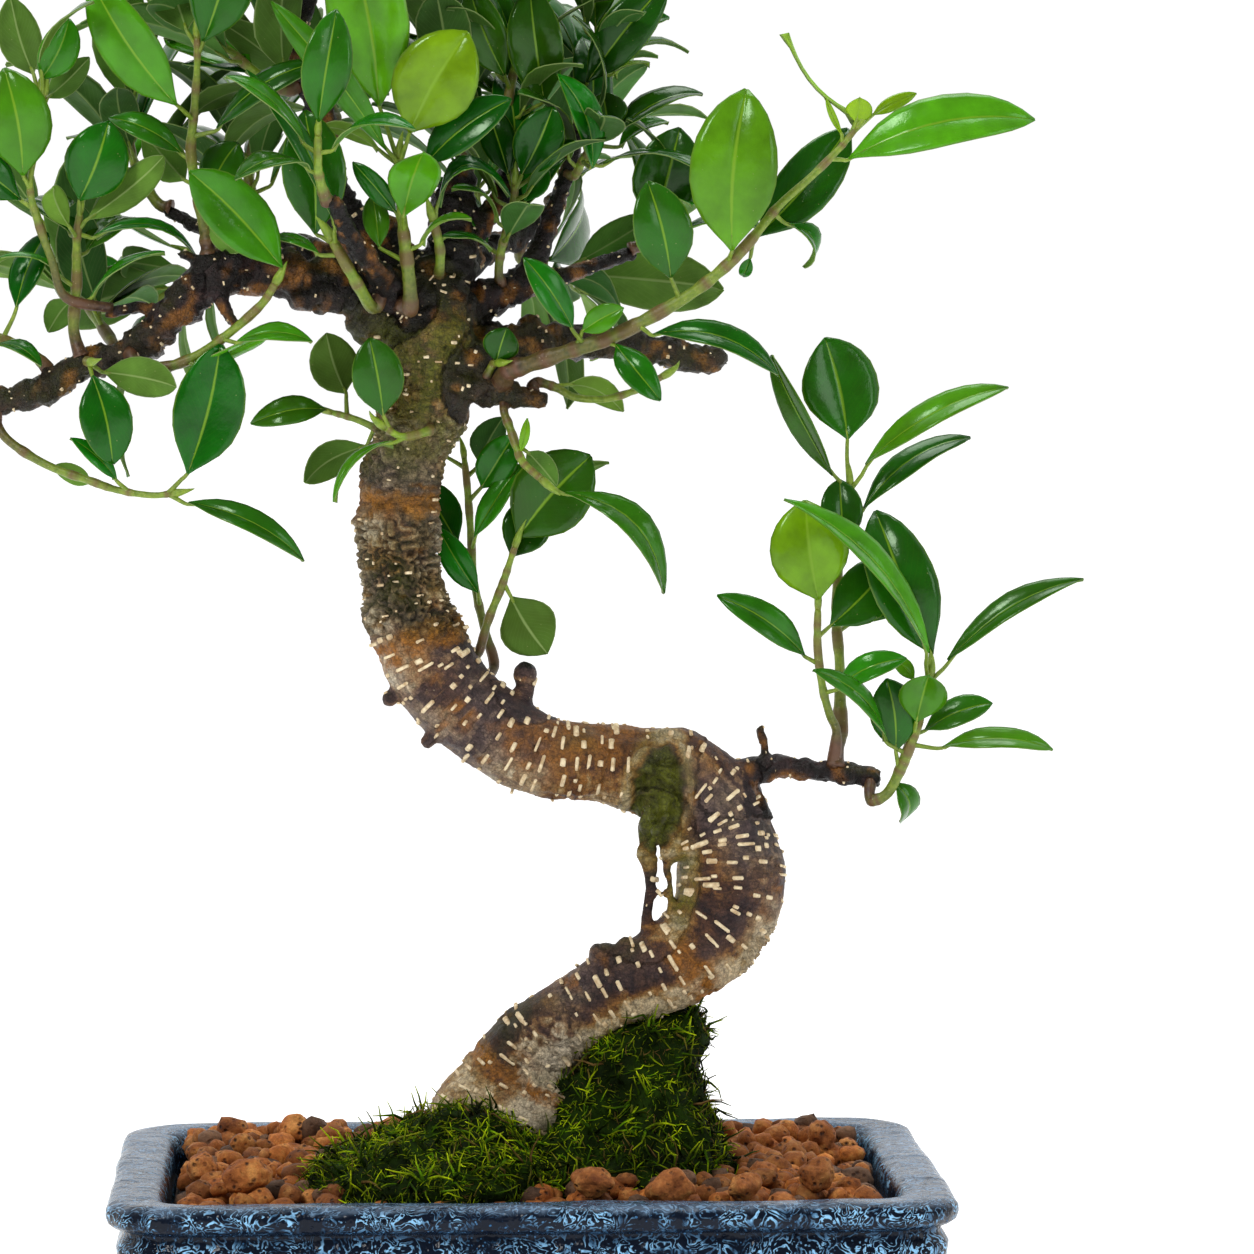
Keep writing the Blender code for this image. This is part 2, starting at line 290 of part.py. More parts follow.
def rounded_rectangle(length, depth, radius):
    """Corner points of a rounded rectangle, counter-clockwise."""
    corners = [(1, 1, 0), (-1, 1, 90), (-1, -1, 180), (1, -1, 270)]
    points = []
    for sx, sy, start in corners:
        for k in range(CORNER_STEPS + 1):
            a = math.radians(start + 90 * k / CORNER_STEPS)
            points.append(Vector((sx * (length / 2 - radius) + radius * math.cos(a),
                                  sy * (depth / 2 - radius) + radius * math.sin(a), 0)))
    return points


def tray(bm, profile, lift=0.0):
    """A closed solid whose level sections are the pot's rounded rectangle, set in by the profile's second number."""
    frames = [
        Matrix.Translation((0, 0, z + lift))
        @ Matrix.Diagonal(((POT_LENGTH - 2 * inset) / POT_LENGTH, (POT_DEPTH - 2 * inset) / POT_DEPTH, 1, 1))
        for z, inset in profile]
    outline = rounded_rectangle(POT_LENGTH, POT_DEPTH, CORNER_RADIUS)
    face = bm.faces.new([bm.verts.new(frames[0] @ p) for p in outline])
    return carry(bm, face, frames)


def lump(bm, place, size, seed, detail=2, roughness=0.0):
    """A rounded stone-like or moss-like lump."""
    chance = random.Random(seed)
    verts = bmesh.ops.create_icosphere(bm, subdivisions=detail, radius=1.0)["verts"]
    tilt = Matrix.Rotation(chance.uniform(0, 6), 4, "Z") @ Matrix.Rotation(chance.uniform(-0.4, 0.4), 4, "X")
    for v in verts:
        v.co *= 1 + roughness * chance.uniform(-1, 1)
    if roughness:
        bmesh.ops.transform(bm, matrix=tilt, verts=verts)
    bmesh.ops.transform(bm, matrix=Matrix.Translation(place) @ Matrix.Diagonal((*size, 1)), verts=verts)


# ================================================================ objects
def material(name, colour, roughness, metallic=0.0):
    found = bpy.data.materials.get(name)
    if found:
        return found
    made = bpy.data.materials.new(name)
    made.use_nodes = True
    shader = made.node_tree.nodes["Principled BSDF"]
    shader.inputs["Base Color"].default_value = (*colour, 1)
    shader.inputs["Roughness"].default_value = roughness
    shader.inputs["Metallic"].default_value = metallic
    return made


GLAZE = ("blue_glaze", (0.05, 0.10, 0.20), 0.25)
SCREEN = ("drain_screen", (0.03, 0.03, 0.03), 0.5)
SOIL = ("soil", (0.05, 0.03, 0.02), 0.95)
CLAY = ("clay_granules", (0.45, 0.17, 0.08), 0.8)
MOSS = ("moss", (0.07, 0.16, 0.02), 0.95)
BARK = ("bark", (0.16, 0.11, 0.08), 0.75)
LEAF = ("leaf", (0.06, 0.25, 0.03), 0.35)


def new_object(name, bm, look, helper=False):
    """An object from a bmesh in millimetres. A helper only cuts or joins, and isn't part of the model."""
    bmesh.ops.triangulate(bm, faces=bm.faces)
    bmesh.ops.recalc_face_normals(bm, faces=bm.faces)
    bmesh.ops.transform(bm, matrix=Matrix.Diagonal((MM, MM, MM, 1)), verts=bm.verts)
    mesh = bpy.data.meshes.new(name)
    bm.to_mesh(mesh)
    bm.free()
    mesh.materials.append(material(*look))
    made = bpy.data.objects.new(name, mesh)
    bpy.context.scene.collection.objects.link(made)
    if helper:
        made.hide_render = True
        made.display_type = "WIRE"
    return made


def boolean(target, other, operation):
    modifier = target.modifiers.new(operation.lower() + "_" + other.name, "BOOLEAN")
    modifier.operation = operation
    modifier.object = other
    modifier.solver = "EXACT"
    modifier.use_self = True


def helper(name, build, *args):
    bm = bmesh.new()
    build(bm, *args)
    return new_object(name, bm, BARK, helper=True)


def tree_of(build, *args):
    """A search tree of a shape in millimetres, for finding what touches it."""
    bm = bmesh.new()
    build(bm, *args)
    bmesh.ops.recalc_face_normals(bm, faces=bm.faces)
    found = BVHTree.FromBMesh(bm)
    low = Vector([min(v.co[k] for v in bm.verts) for k in range(3)])
    high = Vector([max(v.co[k] for v in bm.verts) for k in range(3)])
    bm.free()
    return found, low, high


def touches(a, b):
    (tree_a, low_a, high_a), (tree_b, low_b, high_b) = a, b
    apart = any(low_a[k] > high_b[k] or low_b[k] > high_a[k] for k in range(3))
    return not apart and bool(tree_a.overlap(tree_b))


# ================================================================ leaves and shoots
def leaf_frames(stem, leaf, fatter=0.0):
    """Frames of a leaf from inside its stem, along its stalk and blade to its tip."""
    start, end, width, look, arch, _age = leaf
    start, end = Vector(start), Vector(end)
    along = (end - start).normalized()
    normal = Vector(look)
    normal = (normal - normal.dot(along) * along).normalized()
    side = along.cross(normal)
    root = stem_point(stem, start - along * PETIOLE_REACH)
    rows = [(root, PETIOLE_RADIUS, PETIOLE_RADIUS)]
    for share, wide in LEAF_STATIONS:
        place = start.lerp(end, share) + normal * arch * 4 * share * (1 - share)
        rows.append((place, max(width / 2 * wide, PETIOLE_RADIUS * 0.8), LEAF_HALF_THICK if 0 < share < 1 else 0.45))
    frames = []
    for k, (place, wide, thick) in enumerate(rows):
        tangent = (rows[min(k + 1, len(rows) - 1)][0] - rows[max(k - 1, 0)][0]).normalized()
        across = (side - side.dot(tangent) * tangent).normalized()
        turn = Matrix((across, tangent.cross(across), tangent)).transposed().to_4x4()
        scale = Matrix.Diagonal((wide + fatter, thick + fatter, 1, 1))
        frames.append(Matrix.Translation(place) @ turn @ scale)
    return frames


def stem_point(stem, place):
    """The point of the stem nearest to a place, drawn in a little from the stem's two ends."""
    best = None
    for a, b in zip(stem, stem[1:]):
        a, b = Vector(a[:3]), Vector(b[:3])
        share = min(max((place - a).dot(b - a) / (b - a).length_squared, 0.18), 0.82)
        spot = a.lerp(b, share)
        if best is None or (spot - place).length < (best - place).length:
            best = spot
    return best


def build_leaf(bm, stem, leaf, fatter=0.0):
    loft(bm, leaf_frames(stem, leaf, fatter), 4)


def build_stem(bm, stem, fatter=0.0):
    loft(bm, frames_along([(*p[:3], p[3] + fatter) for p in stem]), 6)


def build_wood(bm, fatter=0.0):
    for route, sides, steps in wood_routes():
        loft(bm, frames_along([(*p[:3], p[3] + fatter) for p in smooth_route(route, steps)]), sides)


def wood_routes():
    return [(TRUNK, TRUNK_SIDES, 2), *[(route, 8 if route[0][3] >= 5 else 6, 1) for route in WOOD.values()]]


def alternate_leaves(stem, count, length, chance):
    """Leaves set one after another round a stem, a golden turn apart, each opening out and up."""
    leaves = []
    turn = chance.uniform(0, math.tau)
    for k in range(count):
        share = 0.12 + 0.88 * (k + 0.5) / count
        place = share * (len(stem) - 1)
        low, high = Vector(stem[int(place)][:3]), Vector(stem[min(int(place) + 1, len(stem) - 1)][:3])
        axis = (Vector(stem[-1][:3]) - Vector(stem[0][:3])).normalized()
        root = low.lerp(high, place - int(place))
        side = axis.orthogonal().normalized()
        turn += GOLDEN_TURN
        out = side * math.cos(turn) + axis.cross(side) * math.sin(turn)
        lean = 0.35 + 0.75 * share
        way = (out + axis * lean + Vector((0, 0, 0.15))).normalized()
        size = length * chance.uniform(0.8, 1.12)
        start = root + way * chance.uniform(5, 8)
        look = axis + Vector((0, 0, 0.7)) - out * 0.2
        leaves.append((tuple(start), tuple(start + way * size), size * chance.uniform(0.36, 0.46), tuple(look),
                       chance.uniform(2, 6), chance.choice((0, 0.1, 0.2, 0.3, 0.5, 0.8))))
    return leaves


def nudged(leaf, step):
    """The same leaf swung a little about its base, first in depth and then sideways."""
    start, end, *rest = leaf
    reach = (Vector(end) - Vector(start)).length
    shifts = [(0, 0, 0), (0, 0.15, 0), (0, -0.15, 0), (0, 0.3, 0), (0, -0.3, 0), (0, 0.45, 0), (0, -0.45, 0),
              (0.15, 0.2, 0), (-0.15, -0.2, 0), (0, 0.2, 0.15), (0, -0.2, -0.15), (0.2, -0.35, 0), (-0.2, 0.35, 0)]
    if step >= len(shifts):
        return None
    aim = (Vector(end) - Vector(start)) + Vector(shifts[step]) * reach
    return (start, tuple(Vector(start) + aim.normalized() * reach), *rest)


def clear_of_wood(stem, wood):
    """The stem from where its end stands clear of the wood that it grows from."""
    rows = smooth_route(stem, 4)
    for k, row in enumerate(rows[: len(rows) - 3]):
        spot, normal, _face, distance = wood[0].find_nearest(Vector(row[:3]))
        outside = (Vector(row[:3]) - spot).dot(normal) > 0
        if outside and distance > row[3] + GAP:
            return [row, *[p for p in stem if nearest_on(rows, Vector(p[:3])) > k + 1]]
    return stem


def arrange_shoots():
    """Every shoot's stem and the leaves that fit without touching the wood, another stem or another leaf."""
    wood = tree_of(build_wood, GAP)
    chance = random.Random(ARRANGE_SEED)
    plan = {}
    for name, (stem, leaves) in SHOOTS.items():
        plan[name] = (stem, leaves)
    for name, (stem, count, length) in FILL_SHOOTS.items():
        plan[name] = (stem, alternate_leaves(smooth_route(stem, 3), count, length, chance))
    stems = {name: clear_of_wood(stem, wood) for name, (stem, _leaves) in plan.items()}
    taken = [("wood", wood)] + [(name, tree_of(build_stem, stem, GAP)) for name, stem in stems.items()]
    arranged = {}
    for name, (_stem, leaves) in plan.items():
        kept = []
        for leaf in leaves:
            step = 0
            while (trial := nudged(leaf, step)) is not None:
                shape = tree_of(build_leaf, stems[name], trial, GAP)
                if not any(owner != name and touches(shape, other) for owner, other in taken):
                    kept.append(trial)
                    taken.append((name, shape))
                    break
                step += 1
        arranged[name] = (stems[name], kept)
    return arranged


# ================================================================ the pieces
def make_pot():
    bm = bmesh.new()
    tray(bm, POT_PROFILE)
    pot = new_object("pot", bm, GLAZE)
    for sx in (-1, 1):
        for sy in (-1, 1):
            foot = helper(f"foot_{sx}_{sy}", build_foot, sx, sy)
            boolean(pot, foot, "UNION")
        drain = helper(f"drain_{sx}", build_drain, sx)
        boolean(pot, drain, "DIFFERENCE")
    return pot


def build_foot(bm, sx, sy):
    x = sx * (POT_LENGTH / 2 - 16.5 - FOOT_LENGTH / 2)
    y = sy * (POT_DEPTH / 2 - 16.5 - FOOT_DEPTH / 2)
    centre = Matrix.Translation((x, y, (FOOT_HEIGHT + 1.5) / 2))
    bmesh.ops.create_cube(bm, size=1.0, matrix=centre @ Matrix.Diagonal((FOOT_LENGTH, FOOT_DEPTH, FOOT_HEIGHT + 1.5, 1)))
    uprights = [e for e in bm.edges if abs(e.verts[0].co.z - e.verts[1].co.z) > 1]
    bmesh.ops.bevel(bm, geom=uprights, offset=7, segments=3, profile=0.5, affect="EDGES")


def build_drain(bm, sx):
    middle = (FOOT_HEIGHT + FLOOR_TOP) / 2
    bmesh.ops.create_cone(bm, cap_ends=True, segments=20, radius1=DRAIN_RADIUS, radius2=DRAIN_RADIUS,
                          depth=FLOOR_TOP - FOOT_HEIGHT + 6, matrix=Matrix.Translation((sx * DRAIN_X, 0, middle)))


def make_screens():
    for name, sx in (("drain_screen_left", -1), ("drain_screen_right", 1)):
        bm = bmesh.new()
        centre = Matrix.Translation((sx * DRAIN_X, 0, FLOOR_TOP + GAP + SCREEN_THICK / 2))
        bmesh.ops.create_cube(bm, size=1.0, matrix=centre @ Matrix.Diagonal((SCREEN_SIDE, SCREEN_SIDE, SCREEN_THICK, 1)))
        new_object(name, bm, SCREEN)


def make_filling():
    """Soil, granules and moss. The inflated trunk cuts the hollow that the root flare stands in."""
    trunk_room = helper("trunk_room", build_trunk_room)
    bm = bmesh.new()
    tray(bm, [(SOIL_BOTTOM, 21.6), (SOIL_TOP, 17.9)])
    soil = new_object("soil", bm, SOIL)
    boolean(soil, trunk_room, "DIFFERENCE")

    bm = bmesh.new()
    tray(bm, BED_PROFILE)
    bed = new_object("granule_bed", bm, CLAY)
    boolean(bed, trunk_room, "DIFFERENCE")
    bed_room = helper("bed_room", tray, [(30.0, 0.0), *[(z, max(i - 18, 0) + 8) for z, i in BED_PROFILE[1:]]], GAP)

    mound = make_moss("moss_mound", MOUND, 11, trunk_room, bed_room)
    mound_room = helper("mound_room", build_moss, MOUND, 11, GAP)
    for name, lumps, seed in (("moss_apron", APRON, 12), ("moss_back", BACK_MOSS, 13)):
        patch = make_moss(name, lumps, seed, trunk_room, bed_room)
        boolean(patch, mound_room, "DIFFERENCE")
    return soil, bed, mound


def build_trunk_room(bm):
    route = [(*p[:3], p[3] + TRUNK_ROOM) for p in smooth_route(TRUNK, 2)[:22]]
    route[0] = (*route[0][:2], route[0][2] - TRUNK_ROOM, route[0][3])
    loft(bm, frames_along(route), TRUNK_SIDES)


def make_moss(name, lumps, seed, *cutters):
    bm = bmesh.new()
    build_moss(bm, lumps, seed)
    moss = new_object(name, bm, MOSS)
    for cutter in cutters:
        boolean(moss, cutter, "DIFFERENCE")
    return moss


def build_moss(bm, rings, seed, fatter=0.0):
    """A mossy hill: oval sections (x, y, z, half length, half depth), from its foot to its crest."""
    chance = random.Random(seed)
    frames = [Matrix.Translation((x, y, z)) @ Matrix.Diagonal((a + fatter, b + fatter, 1, 1)) for x, y, z, a, b in rings]
    loft(bm, frames, 16)
    for v in bm.verts:
        v.co += Vector((chance.uniform(-1.2, 1.2), chance.uniform(-1.2, 1.2), 0))


# oval sections of the moss, foot to crest
MOUND = [(27, -9, 66, 38, 40), (28, -7, 77, 35, 36), (34, -4, 90, 26, 28), (39, -2, 103, 18, 20), (43, 0, 115, 12, 14),
         (46, 0, 121, 9, 10)]
APRON = [(-32, -34, 66, 40, 37), (-31, -34, 76, 38, 35), (-25, -30, 85, 28, 27), (-20, -25, 91, 17, 16)]
BACK_MOSS = [(-20, 42, 66, 24, 18), (-20, 41, 78, 20, 15), (-19, 39, 83, 12, 9)]
# loose granules that lie on the bed: (x, y, half length, half depth, half height)
LOOSE_GRANULES = [(17, -66, 7, 6, 7), (40, -68, 7.5, 6, 6), (62, -66, 6, 5.5, 5), (84, -58, 6.5, 6, 6), (-84, -52, 7, 6, 6),
                  (-98, -20, 6.5, 6, 5.5), (-70, 44, 7, 6, 6), (92, 24, 7, 6, 6)]


def make_loose_granules(bed):
    graph = bpy.context.evaluated_depsgraph_get()
    top = BVHTree.FromObject(bed, graph)
    for k, (x, y, a, b, c) in enumerate(LOOSE_GRANULES):
        bm = bmesh.new()
        lump(bm, (0, 0, 0), (a, b, c), 40 + k, 2, 0.07)
        lift = 0.0
        for v in bm.verts:
            spot = top.ray_cast(Vector(((v.co.x + x) * MM, (v.co.y + y) * MM, 0.3)), Vector((0, 0, -1)))[0]
            lift = max(lift, spot.z / MM - v.co.z if spot else 0)
        bmesh.ops.translate(bm, vec=(x, y, lift + GAP), verts=bm.verts)
        new_object(f"granule_{k + 1}", bm, CLAY)


def make_wood():
    """The trunk with its branches, grown as one piece."""
    parts = []
    for k, (route, sides, steps) in enumerate(wood_routes()):
        bm = bmesh.new()
        loft(bm, frames_along(smooth_route(route, steps)), sides)
        parts.append(new_object("trunk" if k == 0 else f"wood_{k}", bm, BARK, helper=k > 0))
    for branch in parts[1:]:
        boolean(parts[0], branch, "UNION")
    return parts[0]


def make_shoots():
    for name, (stem, leaves) in arrange_shoots().items():
        bm = bmesh.new()
        build_stem(bm, stem)
        shoot = new_object(name, bm, LEAF)
        for k, leaf in enumerate(leaves):
            blade = helper(f"{name}_leaf_{k}", build_leaf, stem, leaf)
            boolean(shoot, blade, "UNION")


def centre_on_box():
    """Moves everything so that the object's own box is centred on the origin, standing on Z = 0."""
    bpy.context.view_layer.update()
    graph = bpy.context.evaluated_depsgraph_get()
    spots = [o.matrix_world @ v.co for o in bpy.context.scene.objects if not o.hide_render
             for v in o.evaluated_get(graph).data.vertices]
    shift = Vector([-(min(s[k] for s in spots) + max(s[k] for s in spots)) / 2 for k in range(2)] + [0])
    for o in bpy.context.scene.objects:
        o.location += shift


def main():
    for o in list(bpy.data.objects):
        bpy.data.objects.remove(o)
    make_pot()
    make_screens()
    _soil, bed, _mound = make_filling()
    bpy.context.view_layer.update()
    make_loose_granules(bed)
    make_wood()
    make_shoots()
    centre_on_box()


main()
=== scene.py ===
"""A fig bonsai in a glazed pot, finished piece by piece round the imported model.

Shapes are drawn in millimetres in the pot's own axes, with the pot standing on Z = 0, and moved into the
model's frame when each piece is made.
"""

import math
import random

import bmesh
import bpy
from mathutils import Matrix, Vector, noise
from mathutils.bvhtree import BVHTree
from mathutils.kdtree import KDTree


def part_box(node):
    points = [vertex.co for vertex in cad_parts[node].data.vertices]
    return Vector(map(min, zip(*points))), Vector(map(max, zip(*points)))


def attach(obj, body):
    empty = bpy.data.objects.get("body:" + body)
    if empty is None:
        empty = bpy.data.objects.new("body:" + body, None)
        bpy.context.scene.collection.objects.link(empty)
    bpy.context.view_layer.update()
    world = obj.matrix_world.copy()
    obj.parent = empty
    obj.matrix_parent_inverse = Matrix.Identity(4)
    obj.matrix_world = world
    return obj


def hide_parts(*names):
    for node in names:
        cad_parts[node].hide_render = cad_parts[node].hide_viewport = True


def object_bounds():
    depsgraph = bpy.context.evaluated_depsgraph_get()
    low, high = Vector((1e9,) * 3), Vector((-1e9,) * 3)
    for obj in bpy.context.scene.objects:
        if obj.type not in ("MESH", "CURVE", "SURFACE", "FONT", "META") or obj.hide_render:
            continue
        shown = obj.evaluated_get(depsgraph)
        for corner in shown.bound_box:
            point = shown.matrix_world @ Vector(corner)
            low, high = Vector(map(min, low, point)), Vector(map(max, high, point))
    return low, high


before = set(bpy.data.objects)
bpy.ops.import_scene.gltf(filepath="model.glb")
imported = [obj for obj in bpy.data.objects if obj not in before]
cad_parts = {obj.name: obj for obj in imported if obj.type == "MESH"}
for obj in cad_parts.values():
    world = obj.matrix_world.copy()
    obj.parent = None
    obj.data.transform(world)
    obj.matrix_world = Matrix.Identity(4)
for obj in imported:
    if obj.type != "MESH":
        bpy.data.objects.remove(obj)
CAD_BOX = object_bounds()
MM = 0.001
POT_LOW, POT_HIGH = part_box("pot")
POT_PLACE = Vector(((POT_LOW.x + POT_HIGH.x) / 2, (POT_LOW.y + POT_HIGH.y) / 2, POT_LOW.z))
TO_FRAME = Matrix.Translation(POT_PLACE) @ Matrix.Diagonal((MM, MM, MM, 1))

# ---------------------------------------------------------------- camera and light
EYE, SIGHT_LINE = Vector((-0.055, -1.730, 0.338)), Vector((0.0496, 1.0, -0.0582))
LENS_MM, SENSOR_MM = 164.3, 36.0
WALL_COLOUR, WALL_STRENGTH, ROOM_STRENGTH = (1.0, 1.0, 1.0), 1.02, 0.17
FLOOR_HALF, FLOOR_GLOW = 14.0, 0.55
# name, place from the pot, size, power, colour; each light faces the middle of the tree
LIGHTS = [
    ("key_light", (-0.9, -1.3, 1.5), 0.55, 19.0, (1.0, 0.98, 0.95)),
    ("fill_light", (1.3, -0.9, 0.6), 0.6, 4.0, (0.95, 0.98, 1.0)),
    ("top_light", (0.1, 0.3, 1.6), 0.8, 10.0, (1.0, 1.0, 1.0)),
]
TREE_MIDDLE = Vector((0.0, 0.0, 0.25))

# ---------------------------------------------------------------- pot and filling
GAP, TRUNK_SIDES = 0.4, 12
POT_LENGTH, POT_DEPTH = 250.0, 180.0
CORNER_RADIUS, CORNER_STEPS, SIDE_STEPS = 20.0, 10, 30
FOOT_HEIGHT, FOOT_LENGTH, FOOT_DEPTH = 8.0, 38.0, 26.0
FOOT_INSET, FOOT_SINK, FOOT_ROUND = 16.5, 1.5, 7
FLOOR_TOP, DRAIN_X, DRAIN_RADIUS = 17.0, 62.0, 8.0
# the outer wall from the underside up to the lip, then the inner wall down to the floor: (height, inset)
POT_PROFILE = [
    (8.0, 15.0), (10.5, 12.5), (18.0, 10.2), (27.0, 8.0), (36.0, 6.0), (45.0, 4.8), (54.0, 3.7),
    (61.0, 3.0), (63.2, 4.2), (64.6, 5.0), (66.2, 4.8), (67.3, 2.2), (68.6, 0.8), (70.5, 0.2), (72.4, 0.3),
    (73.8, 1.3), (74.7, 3.0), (75.0, 5.2), (74.8, 8.0), (74.8, 10.6), (74.6, 12.8), (73.7, 15.0),
    (71.8, 16.4), (69.0, 17.0), (66.0, 17.2), (50.0, 18.4), (FLOOR_TOP, 21.0),
]
# the granule bed from its foot to its crown: (height, inset)
BED_PROFILE = [(62.0, 18.0), (68.5, 17.6), (71.5, 24.0), (75.0, 44.0), (77.0, 70.0)]
# moss, as ellipses stacked from the bed up: (x, y, z, half length, half depth), and tufts as balls:
# (x, y, z, radius)
MOUND = [
    (27, -9, 66, 38, 40), (28, -7, 77, 35, 36), (32.5, -4, 90, 24.5, 27), (36.5, -2, 103, 16.5, 19),
    (43, 0, 115, 12, 14), (46, 0, 121, 9, 10),
]
APRON = [(-32, -34, 66, 40, 37), (-31, -34, 76, 38, 35), (-25, -30, 85, 28, 27), (-20, -25, 91, 17, 16)]
TUFTS = [
    (-14, -34, 72, 12), (0, -36, 70, 12), (10, -27, 76, 12), (15, -23, 83, 9), (20, -20, 92, 9),
    (17, -15, 93, 12), (28, -12, 104, 12), (36, -9, 111, 9),
]
BACK_MOSS = [(-20, 42, 66, 24, 18), (-20, 41, 78, 20, 15), (-19, 39, 83, 12, 9)]

# ---------------------------------------------------------------- wood: (x, y, z, radius)
TRUNK = [
    (-9, 2, 50, 25), (-10, 2, 66, 23), (-9, 2, 80, 19.5), (-6, 1, 93, 17), (1, 0, 106, 15.5),
    (12, -2, 117, 14), (27, -4, 127, 12.6), (42, -5, 134, 13.6), (54, -4, 142, 15.4), (61, -2, 152, 16.6),
    (62, 0, 163, 16.6), (61, 2, 173, 16.2), (56, 3, 182, 16.4), (46, 3, 190, 15.6), (33, 2, 194, 13.2),
    (20, 1, 196, 12), (7, 0, 198, 12.6), (-6, 0, 204, 13), (-17, 0, 212, 13.6), (-27, 1, 222, 14),
    (-33, 2, 234, 13.8), (-36, 2, 245, 12.6), (-37, 2, 256, 12), (-38, 1, 268, 12.2), (-38, 1, 280, 12),
    (-35, 0, 291, 12.2), (-31, 0, 302, 13.6), (-29, 0, 314, 14), (-29, 0, 326, 14.5), (-29, 0, 338, 13),
    (-32, 2, 347, 9),
]
WOOD = {
    "leader": [(-30, 2, 338, 11), (-44, 4, 350, 8.5), (-55, 5, 362, 6.5), (-60, 5, 376, 5),
               (-61, 4, 390, 4.2), (-65, 3, 402, 3.8), (-68, 4, 416, 3.2), (-64, 6, 431, 2.6),
               (-58, 8, 444, 2)],
    "branch_left": [(-30, 0, 330, 10), (-46, -4, 337, 8), (-60, -10, 341, 7), (-78, -14, 344, 6.4),
                    (-93, -16, 343, 6.6), (-103, -17, 335, 5.4), (-111, -18, 326, 5), (-121, -18, 320, 4.6),
                    (-134, -18, 316, 4.4), (-141, -17, 311, 4.4), (-152, -15, 307, 3.8),
                    (-162, -13, 304, 3.2), (-172, -10, 303, 2.4)],
    "stub_centre": [(-26, 2, 338, 9), (-22, 3, 352, 7.5), (-23, 4, 364, 6), (-18, 5, 374, 4)],
    "branch_middle": [(-22, 4, 348, 5), (-12, 7, 360, 3.6), (-6, 9, 370, 3), (-4, 10, 380, 2.4)],
    "branch_right_up": [(-24, 4, 332, 8), (-10, 8, 337, 5.4), (0, 10, 342, 4.4), (5, 12, 353, 3.4),
                        (10, 13, 366, 2.6), (15, 14, 380, 2.2), (18, 15, 394, 1.8)],
    "branch_right_back": [(-4, 9, 339, 4), (14, 16, 344, 2.8), (34, 22, 351, 2.2)],
    "stub_right": [(-22, 2, 318, 9), (-4, 6, 322, 6.4), (14, 9, 324, 5.4), (32, 11, 322, 4.8),
                   (46, 12, 320, 4.6), (58, 13, 317.5, 4)],
    "stub_low": [(-18, -5, 312, 7), (-6, -7, 308, 4), (6, -7, 306, 2.8)],
    "branch_low_right": [(56, 0, 186, 8), (68, 2, 193, 4.4), (78, 2, 194.5, 3.4), (90, 2, 193, 3.2),
                         (101, 1, 192, 3), (108, 0, 191, 2.6)],
    "peg_low_right": [(73, 2, 194, 1.7), (73, 1.5, 200, 1.3), (71, 1, 207, 1.5)],
    "knob": [(-4, 2, 206, 6), (-1.5, 1, 215, 3.8), (0, 1, 219, 3), (0.5, 1, 223.5, 3.2)],
    "air_root": [(37, -4, 178, 3.4), (36.5, -7, 170, 2.4), (37.6, -8, 160, 1.8), (36.4, -8, 150, 1.8),
                 (37, -6, 142, 3)],
    "branch_back": [(-26, 4, 334, 8), (-20, 24, 344, 5.4), (-10, 44, 352, 4), (2, 62, 357, 3),
                    (12, 76, 366, 2.2)],
    "branch_back_left": [(-34, 4, 336, 7), (-52, 24, 346, 5), (-72, 42, 353, 3.8), (-92, 54, 356, 2.8),
                         (-110, 60, 364, 2)],
    "branch_front": [(-36, -4, 336, 6), (-44, -22, 344, 4), (-52, -38, 354, 3), (-58, -50, 366, 2.2)],
    "peg_left_a": [(-108, -17, 330, 2.6), (-114, -16, 334, 1.9), (-125, -15, 332.5, 1.9)],
    "peg_left_b": [(-95, -16, 345, 2.6), (-100, -17, 349, 1.7), (-104, -18, 350, 1.4)],
    "peg_left_c": [(-92, -18, 342, 2.8), (-90, -22, 334, 2), (-86, -24, 328, 1.6)],
}

